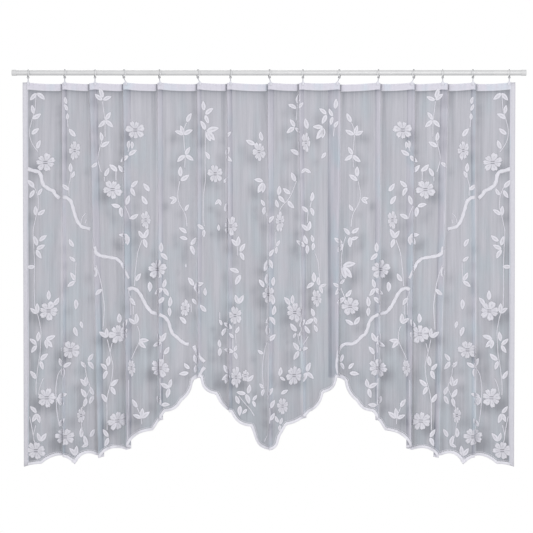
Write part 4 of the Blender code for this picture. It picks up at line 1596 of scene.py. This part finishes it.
@dataclass
class Embroidery:
    """Flowers, leaves, stems and branches worked on the net, in millimetres."""

    drape: Drape
    leaf_form: LeafForm = LeafForm()
    flower_form: FlowerForm = FlowerForm()
    thickness: float = 1.6
    thread_tone: float = 0.82
    # most painted light on motifs where the cloth turns away from the front
    most_flank_light: float = 0.16
    spacing: float = 3.5
    stem_width: float = 2.8
    stem_softness: float = 40.0
    bough_softness: float = 10.0
    bough_width: float = 4.0
    bough_rows: int = 4
    bulge: float = 0.10
    bulge_step: float = 0.8
    slit_length: float = 15.0
    slit_width: float = 2.8
    slit_gap: float = 8.0
    slit_tone: float = 0.12
    slit_lift: float = 0.25
    slit_spacing: float = 3.0
    shade_drop: float = 26.0
    shade_side: float = 28.0
    shade_turns: float = 257.0
    shade_start: float = 0.85
    shade_growth: float = 0.0003
    leaf_shade: float = 0.12
    leaf_shade_spread: float = 13.0
    flower_shade: float = 0.34
    flower_shade_spread: float = 21.0
    shades: list[Shade] = field(default_factory=list)

    def shade(self, x: float, depth: float, spread: float, strength: float) -> None:
        """Note the shadow of a motif: to the left of it, but to the right far right.

        Args:
            x: Hung place of the motif.
            depth: Depth of its middle.
            spread: Width of its shadow.
            strength: How dark the shadow is at the top.
        """
        x += self.shade_side if x > self.shade_turns else -self.shade_side
        strength *= self.shade_start + self.shade_growth * depth
        self.shades.append(Shade(x, depth + self.shade_drop, spread, strength))

    def leaf(self, work: Patchwork, spray: Spray, hand: Hand, hour: float, count: int) -> None:
        """Add one leaf of a spray.

        Args:
            work: Patches that it joins.
            spray: The spray that it grows from.
            hand: Side of the curtain that it is worked on.
            hour: Hour of the clock that it points to.
            count: Its number, which sets its own size and bend.
        """
        form = self.leaf_form
        angle = hand.value * TURN * hour / HOURS
        ahead = np.array((math.sin(angle), math.cos(angle)))
        side = np.array((-ahead[1], ahead[0]))
        hub = np.array((hand.value * spray.x, -spray.depth))
        size = spray.size * (1.0 + form.size_change * math.sin(form.size_step * count))
        bend = form.bend * math.sin(form.bend_step * count)

        def place(share: float, across: float) -> Spot:
            """Spot of the leaf, turned to its hour.

            Args:
                share: From 0 at its foot to 1 at its tip.
                across: From -1 to 1 across it.

            Returns:
                The spot.
            """
            spot = form.spot(share, across, size, bend, self.thread_tone)
            x, height = hub + ahead * spot.height + side * spot.place
            return spot._replace(place=x, height=height)

        work.add(form.columns, form.rows, place)
        x, height = hub + ahead * (form.gap + 0.5 * form.length * size)
        self.shade(x, -height, self.leaf_shade_spread * size, self.leaf_shade)

    def flower(self, work: Patchwork, bloom: Bloom, hand: Hand, count: int) -> None:
        """Add one flower, with two slits across its centre.

        Args:
            work: Patches that it joins.
            bloom: Its row of the chart.
            hand: Side of the curtain that it is worked on.
            count: Its number, which sets its own unevenness.
        """
        form = self.flower_form
        middle = hand.value * bloom.x

        def place(share: float, across: float) -> Spot:
            """Spot of the flower, as wide and high as it shows.

            Args:
                share: Share of the way round it.
                across: From -1 at its centre to 1 at its edge.

            Returns:
                The spot.
            """
            spot = form.spot(share, 0.5 * (across + 1.0), count, self.thread_tone)
            return spot._replace(place=middle + 0.5 * bloom.width * spot.place,
                                 height=0.5 * bloom.height * spot.height - bloom.depth)

        work.add(form.columns * form.petals, form.rows, place)
        narrowed = bloom.width / bloom.height
        half = 0.5 * self.slit_length * narrowed
        for side in (-0.5, 0.5):
            height = side * self.slit_gap - bloom.depth
            ends = np.array(((middle - half, height), (middle + half, height)))
            route = smooth_route(ends, self.slit_spacing, self.slit_spacing)
            widths = np.full(len(route), self.slit_width)
            work.ribbon(route, widths, self.slit_tone, lift=self.slit_lift)
        self.shade(middle, bloom.depth, self.flower_shade_spread, self.flower_shade * narrowed)

    def strand(self, work: Patchwork, route: Route, hand: Hand, widths: Pair,
               softness: float) -> None:
        """Add a stem or a branch.

        Args:
            work: Patches that it joins.
            route: Its charted corners.
            hand: Side of the curtain that it is worked on.
            widths: Width at its start and at its end.
            softness: Length of route over which a corner is rounded.
        """
        points = np.reshape(route, (-1, 2)) * (hand.value, -1.0)
        line = smooth_route(points, self.spacing, softness)
        taper = np.linspace(*widths, len(line))
        bulge = 1.0 + self.bulge * np.sin(np.arange(len(line)) * self.bulge_step)
        rows = self.bough_rows if widths[0] > self.bough_width else 1
        work.ribbon(line, taper * bulge, self.thread_tone, rows)

    def build(self, name: str, hand: Hand, chart: Chart) -> Piece:
        """Work one part of the design.

        Args:
            name: Name of the piece.
            hand: Side of the curtain that it is worked on.
            chart: Its sprays, flowers, stems and branches.

        Returns:
            The worked piece.
        """
        work = Patchwork(self.drape, as_seen=True)
        for route in chart.stems:
            self.strand(work, route, hand, (self.stem_width, self.stem_width), self.stem_softness)
        for bough in chart.boughs:
            self.strand(work, bough.route, hand, (bough.start, bough.end), self.bough_softness)
        leaves = [(spray, hour) for spray in chart.sprays for hour in spray.hours]
        for count, (spray, hour) in enumerate(leaves):
            self.leaf(work, spray, hand, hour, count)
        for count, bloom in enumerate(chart.blooms):
            self.flower(work, bloom, hand, count)
        return work.finish(name, self.thickness, self.most_flank_light)


@dataclass
class Edging:
    """Scalloped band along the hem and turned hems down both sides, in millimetres."""

    drape: Drape
    thickness: float = 1.8
    band: float = 10.5
    band_tone: float = 0.92
    spacing: float = 1.8
    tooth: float = 0.9
    tooth_length: float = 7.0
    line_width: float = 1.4
    line_place: float = 14.0
    line_tone: float = 0.80
    side_hem: float = 17.0
    side_columns: int = 6
    side_rows: int = 96
    side_tone: float = 0.61
    side_light: float = 0.08
    side_light_half: float = 0.42

    def build(self) -> Piece:
        """Work the band, its fine inner line and the two side hems.

        Returns:
            The edging.
        """
        work = Patchwork(self.drape)
        corners = np.column_stack((self.drape.hem_flats, -np.array(self.drape.hem_depths)))
        route = smooth_route(corners, self.spacing, 2.0 * self.spacing)
        teeth = self.tooth * np.sin(TURN * self.spacing / self.tooth_length * np.arange(len(route)))
        work.ribbon(route, self.band + teeth, self.band_tone, rows=3, shift=1.0)
        inner = 2.0 * self.line_place / self.line_width
        widths = np.full(len(route), self.line_width)
        work.ribbon(route, widths, self.line_tone, rows=1, shift=inner)
        for start in (0.0, self.drape.width - self.side_hem):
            self.side(work, start)
        return work.finish("edging", self.thickness)

    def side(self, work: Patchwork, start: float) -> None:
        """Add the turned hem down one side.

        Args:
            work: Patches that it joins.
            start: Flat place of its left edge.
        """
        def place(share: float, across: float) -> Spot:
            """Spot of the side hem.

            Args:
                share: Share of its width.
                across: From -1 at its foot to 1 at its top.

            Returns:
                The spot.
            """
            flat = start + self.side_hem * share
            top, foot = self.drape.heading(flat), self.drape.hem(flat)
            depth = float(top + (foot - top) * 0.5 * (1.0 - across))
            stitched = math.exp(-((share - 0.5) / self.side_light_half) ** 8)
            return Spot(flat, -depth, 0.0, depth, self.side_hem * share,
                        self.side_tone + self.side_light * stitched)

        work.add(self.side_columns, self.side_rows, place)


@dataclass
class Tape:
    """Woven heading tape along the back of the top edge, in millimetres."""

    net: Net
    thickness: float = 0.8
    inset: float = 0.8
    height: float = 25.0
    behind: float = 1.2
    rows: int = 8
    tone: float = 0.90
    cord_row: int = 2
    cord_shade: float = 0.07

    def build(self) -> Piece:
        """Lay the tape behind the cloth's heading, with two darker cords and painted shadow lines.

        Returns:
            The tape.
        """
        drape = self.net.drape
        columns = self.net.columns()
        lines = self.net.heading_shadow_lines(columns)
        work = Patchwork(drape)

        def place(share: float, across: float) -> Spot:
            """Spot of the tape.

            Args:
                share: Share of its length.
                across: From -1 at its foot to 1 at its top.

            Returns:
                The spot.
            """
            column = round(share * (len(columns) - 1))
            flat, up = columns[column], 0.5 * (across + 1.0)
            fall = self.height + (self.inset - self.height) * up
            corded = round(up * self.rows) in (self.cord_row, self.rows - self.cord_row)
            # the heading's painted shadow lines beside the front edges darken the tape too
            tone = self.tone - self.cord_shade * corded - lines[column]
            return Spot(flat, -float(drape.heading(flat)) - fall, -self.behind, fall, flat, tone)

        work.add(len(columns) - 1, self.rows, place)
        return work.finish("woven_tape", self.thickness)


@dataclass
class Hardware:
    """Rod, end caps, rings and clips, in millimetres."""

    drape: Drape
    sides: int = 64
    rod_diameter: float = 20.0
    rod_ease: float = 0.5
    end_angle: float = 1.0
    # painted shade on the rod's underside: its strength, and where it starts and fades in shares of
    # the diameter
    underside_shade: float = 0.35
    underside_shade_start: float = 0.34
    underside_shade_fade: float = 0.16
    cap_diameter: float = 22.5
    cap_length: float = 18.0
    cap_floor: float = 6.0
    cap_edge: float = 1.6
    cap_edge_steps: int = 6
    cap_lip: float = 0.4
    fit_gap: float = 0.3
    ring_radius: float = 15.0
    ring_wire: float = 3.0
    ring_hang: float = 2.6
    ring_sides: int = 14
    # painted shade of the ring: least tone on its top and at its foot, and where its lit front
    # starts and fades in
    ring_top_shade: float = 0.35
    ring_foot_shade: float = 0.12
    ring_lit_front: float = 0.45
    ring_lit_fade: float = 0.4
    clip_width: float = 10.0
    clip_flat: float = 12.2
    clip_ease: float = 0.3
    jaw: float = 1.0
    jaw_gap: float = 0.35
    jaw_top: float = 33.8
    jaw_roof: float = 35.0
    roof_ease: float = 0.2
    front_foot: float = 47.0
    back_foot: float = 45.0
    cloth: float = 1.0
    tape_room: float = 1.1
    grip_bars: int = 3
    bar_foot: float = 2.2
    bar_step: float = 1.7
    bar_height: float = 0.8
    bar_inset: float = 1.2
    bar_proud: float = 0.4
    bar_ease: float = 0.15
    eye_radius: float = 3.9
    eye_wire: float = 2.0
    eye_flat: float = 0.5
    eye_steps: int = 32
    eye_sides: int = 10
    stem_foot: float = 5.4
    stem_waist: float = 2.8
    stem_depth: float = 0.8
    stem_ease: float = 0.2
    stem_top: float = 0.45
    stem_fade: float = 10.0
    sharp_angle: float = 35.0

    def closed(self, name: str, shape: Shape) -> Piece:
        """Turn a closed bmesh into a smooth piece whose real edges stay sharp.

        Args:
            name: Name of the piece.
            shape: Its shape, in metres.

        Returns:
            The piece.
        """
        bmesh.ops.recalc_face_normals(shape, faces=shape.faces)
        piece = new_piece(name, shape)
        piece.data.set_sharp_from_angle(angle=math.radians(self.sharp_angle))
        return piece

    def rod(self) -> Piece:
        """Round tube between the caps, with eased ends and painted shade on its underside.

        Returns:
            The rod.
        """
        low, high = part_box("rod")
        radius = 0.5 * self.rod_diameter * MM
        shape = bmesh.new()
        bmesh.ops.create_cone(shape, cap_ends=True, segments=self.sides, radius1=radius,
                              radius2=radius, depth=high[0] - low[0],
                              matrix=Matrix.Rotation(0.5 * math.pi, 4, "Y"))
        ends = [edge for edge in shape.edges if edge.calc_face_angle(0.0) > self.end_angle]
        ease(shape, ends, self.rod_ease, segments=3)
        piece = self.closed("rod_tube", shape)
        # painted shade: darker towards the underside
        below = -read_places(piece)[:, 2] / MM / self.rod_diameter
        shaded = smooth_step((below - self.underside_shade_start) / self.underside_shade_fade)
        write_attribute(piece.data, "tone", 1.0 - self.underside_shade * shaded)
        return piece

    def cap(self, name: str, direction: int) -> Piece:
        """Cup-shaped end cap, turned from its profile, with a rounded outer edge.

        Args:
            name: Name of the piece.
            direction: -1 for the left end, 1 for the right.

        Returns:
            The cap.
        """
        outer, bore = 0.5 * self.cap_diameter, 0.5 * self.rod_diameter + self.fit_gap
        profile = [(0.0, 0.0)]
        for angle in np.linspace(0.0, 0.5 * math.pi, self.cap_edge_steps):
            profile.append((outer - self.cap_edge * (1.0 - math.sin(angle)),
                            -self.cap_edge * (1.0 - math.cos(angle))))
        deep = -self.cap_length
        profile += [(outer, deep + self.cap_lip), (outer - self.cap_lip, deep), (bore, deep),
                    (bore, -self.cap_floor), (0.0, -self.cap_floor)]
        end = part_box("rod")[1][0] / MM + self.fit_gap + self.cap_floor
        shape = bmesh.new()
        corners = [shape.verts.new(((end + up) * direction * MM, radius * MM, 0.0))
                   for radius, up in profile]
        spin(shape, corners + [shape.edges.new(pair) for pair in zip(corners, corners[1:])],
             self.sides)
        bmesh.ops.remove_doubles(shape, verts=shape.verts, dist=WELD)
        piece = self.closed(name, shape)
        write_attribute(piece.data, "tone", np.ones(len(piece.data.vertices)))
        return piece

    def hoop(self, shape: Shape, radius: float, wire: float, steps: int,
             sides: int, place: Matrix) -> None:
        """Add a closed round hoop whose axis is X before it is placed.

        Args:
            shape: Shape that it joins.
            radius: From its axis to the middle of its wire.
            wire: Diameter of the wire.
            steps: Faces round the hoop.
            sides: Faces round the wire.
            place: Where the hoop goes.
        """
        before = set(shape.verts)
        start = Matrix.Translation((0.0, radius * MM, 0.0))
        made = bmesh.ops.create_circle(shape, segments=sides, radius=0.5 * wire * MM, matrix=start)
        spin(shape, made["verts"] + edges_of(made["verts"]), steps)
        new = [corner for corner in shape.verts if corner not in before]
        bmesh.ops.remove_doubles(shape, verts=new, dist=WELD)
        new = [corner for corner in shape.verts if corner not in before]
        bmesh.ops.transform(shape, matrix=place, verts=new)

    def ring(self, name: str, fold: Fold) -> Piece:
        """Smooth ring on the rod, turned a little about the vertical, with painted shade off its
        front.

        Args:
            name: Name of the piece.
            fold: The fold beside it, which says where it hangs.

        Returns:
            The ring.
        """
        shape = bmesh.new()
        place = Matrix.Translation((fold.ring * MM, 0.0, -self.ring_hang * MM))
        place = place @ Matrix.Rotation(math.radians(fold.yaw), 4, "Z")
        self.hoop(shape, self.ring_radius, self.ring_wire, self.sides, self.ring_sides, place)
        piece = self.closed(name, shape)
        places = read_places(piece) / MM
        # painted shade: the front keeps its lit colour, while the top and the foot are painted dark
        ahead = -places[:, 1] / self.ring_radius
        facing = smooth_step((ahead - self.ring_lit_front) / self.ring_lit_fade)
        least = np.where(places[:, 2] > 0.0, self.ring_top_shade, self.ring_foot_shade)
        write_attribute(piece.data, "tone", least + (1.0 - least) * facing)
        return piece

    def slab(self, shape: Shape, low: Triple, high: Triple, width: float) -> None:
        """Add a box between two corners.

        Args:
            shape: Shape that it joins.
            low: Its corner with the least x, y and z.
            high: Its corner with the most.
            width: Width that its edges are rounded by.
        """
        low, high = Vector(low) * MM, Vector(high) * MM
        place = Matrix.Translation(0.5 * (low + high)) @ Matrix.Diagonal((*(high - low), 1.0))
        made = bmesh.ops.create_cube(shape, size=1.0, matrix=place)
        ease(shape, edges_of(made["verts"]), width)

    def clip(self, name: str, fold: Fold, flat: float) -> Piece:
        """Clip astride the heading, with grip bars, and an eye on its ring.

        Args:
            name: Name of the piece.
            fold: The ring that carries it.
            flat: Flat place of its middle.

        Returns:
            The clip.
        """
        sides = np.array((flat - 0.5 * self.clip_flat, flat + 0.5 * self.clip_flat))
        left, right = self.drape.plan(sides, np.zeros(2))
        middle, run = 0.5 * (left + right), right - left
        half, thin = 0.5 * self.clip_width, 0.5 * self.jaw
        front = -0.5 * self.cloth - self.jaw_gap
        back = 0.5 * self.cloth + self.tape_room + self.jaw_gap
        shape = bmesh.new()
        for start, end, foot, width in (
                (front - self.jaw, front, self.front_foot, self.clip_ease),
                (back, back + self.jaw, self.back_foot, self.clip_ease),
                (front - thin, back + thin, self.jaw_roof, self.roof_ease)):
            self.slab(shape, (-half, start, -foot), (half, end, -self.jaw_top), width)
        across = half - self.bar_inset
        for bar in range(self.grip_bars):
            height = -self.front_foot + self.bar_foot + self.bar_step * bar
            self.slab(shape, (-across, front - self.jaw - self.bar_proud, height),
                      (across, front - thin, height + self.bar_height), self.bar_ease)
        eye = Vector((fold.ring - middle[0], front - thin, -self.ring_hang - self.ring_radius))
        upright = Matrix.Translation(eye * MM) @ Matrix.Rotation(0.5 * math.pi, 4, "Z")
        self.hoop(shape, self.eye_radius, self.eye_wire, self.eye_steps, self.eye_sides,
                  upright @ Matrix.Diagonal((self.eye_flat, 1.0, 1.0, 1.0)))
        self.stem(shape, eye)
        turn = Matrix.Rotation(math.atan2(run[1], run[0]), 4, "Z")
        place = Matrix.Translation((middle[0] * MM, middle[1] * MM, 0.0)) @ turn
        bmesh.ops.transform(shape, matrix=place, verts=shape.verts)
        piece = self.closed(name, shape)
        above = read_places(piece)[:, 2] / MM + self.jaw_top
        rise = smooth_step(above / self.stem_fade)
        write_attribute(piece.data, "tone", 1.0 - (1.0 - self.stem_top) * rise)
        return piece

    def stem(self, shape: Shape, eye: Vector) -> None:
        """Add the waisted stem from the jaws up to the eye.

        Args:
            shape: Shape that it joins.
            eye: Middle of the eye.
        """
        base = Vector((0.0, eye.y, -0.5 * (self.jaw_top + self.jaw_roof)))
        run = eye - Vector((0.0, 0.0, self.eye_radius)) - base
        made = bmesh.ops.create_cube(shape, size=1.0)
        for corner in made["verts"]:
            share = corner.co.z + 0.5
            wide = self.stem_foot + (self.stem_waist - self.stem_foot) * share
            section = Vector((corner.co.x * wide, corner.co.y * self.stem_depth, 0.0))
            corner.co = (base + run * share + section) * MM
        ease(shape, edges_of(made["verts"]), self.stem_ease)


class Lamp(NamedTuple):
    """One soft square light that faces a point, in metres and watts."""

    name: str
    place: Triple
    aim: Triple
    size: float
    power: float


LAMPS = (
    Lamp("key", (1.2, -3.4, 0.3), (0.0, 0.0, -0.9), 2.4, 58.0),
    Lamp("fill", (-2.4, -3.0, 0.2), (0.0, 0.0, -0.8), 2.2, 26.0),
    Lamp("back", (-0.6, 2.8, 1.4), (0.0, 0.0, -0.7), 2.4, 24.0),
)


@dataclass
class Studio:
    """Camera, soft lights, white surroundings and a pale floor, in metres."""

    lens: float = 143.3
    camera_place: Triple = (-0.0094, -8.0, -0.7304)
    view_end: float = 100.0
    surround: float = 0.68
    floor_height: float = -1.95
    floor_radius: float = 1.25
    floor_sides: int = 96
    floor_tone: float = 0.86
    floor_roughness: float = 0.9

    def build(self) -> None:
        """Set the whole studio up."""
        self.camera()
        self.world()
        for lamp in LAMPS:
            self.light(lamp)
        self.floor()
        bpy.context.scene.view_settings.view_transform = "Standard"

    def camera(self) -> None:
        """Long lens, square to the curtain."""
        data = bpy.data.cameras.new("camera")
        data.lens = self.lens
        data.clip_end = self.view_end
        made = add_object("camera", data)
        made.location = self.camera_place
        made.rotation_euler = (0.5 * math.pi, 0.0, 0.0)
        bpy.context.scene.camera = made

    def world(self) -> None:
        """Plain white to look at, and a softer white as light."""
        made = bpy.data.worlds.new("surroundings")
        made.use_nodes = True
        bpy.context.scene.world = made
        board = Board(made.node_tree)
        seen = board.add("ShaderNodeLightPath").outputs["Is Camera Ray"]
        strength = board.math("MULTIPLY_ADD", seen, 1.0 - self.surround, self.surround)
        backdrop = made.node_tree.nodes["Background"]
        board.feed(backdrop, {"Color": (1.0, 1.0, 1.0, 1.0), "Strength": strength})

    def light(self, lamp: Lamp) -> None:
        """Add one light.

        Args:
            lamp: Where it stands and how bright it is.
        """
        data = bpy.data.lights.new(lamp.name, "AREA")
        data.size = lamp.size
        data.energy = lamp.power
        made = add_object(lamp.name, data)
        made.location = lamp.place
        facing = Vector(lamp.aim) - Vector(lamp.place)
        made.rotation_euler = facing.to_track_quat("-Z", "Y").to_euler()

    def floor(self) -> None:
        """Round pale floor well below the hem."""
        shape = bmesh.new()
        place = Matrix.Translation((0.0, 0.0, self.floor_height))
        bmesh.ops.create_circle(shape, cap_ends=True, segments=self.floor_sides,
                                radius=self.floor_radius, matrix=place)
        piece = new_piece("studio_floor", shape, smooth=False)
        paint = {"Roughness": self.floor_roughness, "Base Color": (*(self.floor_tone,) * 3, 1.0)}
        material, _, _ = start_material("studio_floor", paint)
        piece.data.materials.append(material)


def main() -> None:
    """Build every piece in order and report it."""
    logging.basicConfig(level=logging.INFO, format="%(message)s")
    Studio().build()
    wardrobe = Wardrobe()
    drape = Drape()
    hardware = Hardware(drape)
    wardrobe.dress(hardware.rod(), Slot.ROD, "rod")
    for side, direction in (("left", -1), ("right", 1)):
        wardrobe.dress(hardware.cap(f"cap_{side}", direction), Slot.CAP, f"end_cap_{side}")
    for number, (fold, flat) in enumerate(zip(FOLDS, drape.clips), start=1):
        ring = hardware.ring(f"round_ring_{number:02d}", fold)
        wardrobe.dress(ring, Slot.RING, f"ring_{number:02d}")
        clip = hardware.clip(f"eye_clip_{number:02d}", fold, float(flat))
        wardrobe.dress(clip, Slot.CLIP, f"clip_{number:02d}")
    embroidery = Embroidery(drape)
    worked = [embroidery.build("embroidery_left", Hand.LEFT, OUTER_CHART),
              embroidery.build("embroidery_right", Hand.RIGHT, OUTER_CHART),
              embroidery.build("embroidery_centre", Hand.LEFT, CENTRE_CHART),
              Edging(drape).build()]
    for piece in worked:
        wardrobe.dress(piece, Slot.EMBROIDERY)
    net = Net(drape)
    cloth = wardrobe.dress(net.build(embroidery.shades), Slot.NET, "curtain")
    tape_parts = Tape(net)
    tape = wardrobe.dress(tape_parts.build(), Slot.TAPE, "heading_tape")


if __name__ == "__main__":
    main()
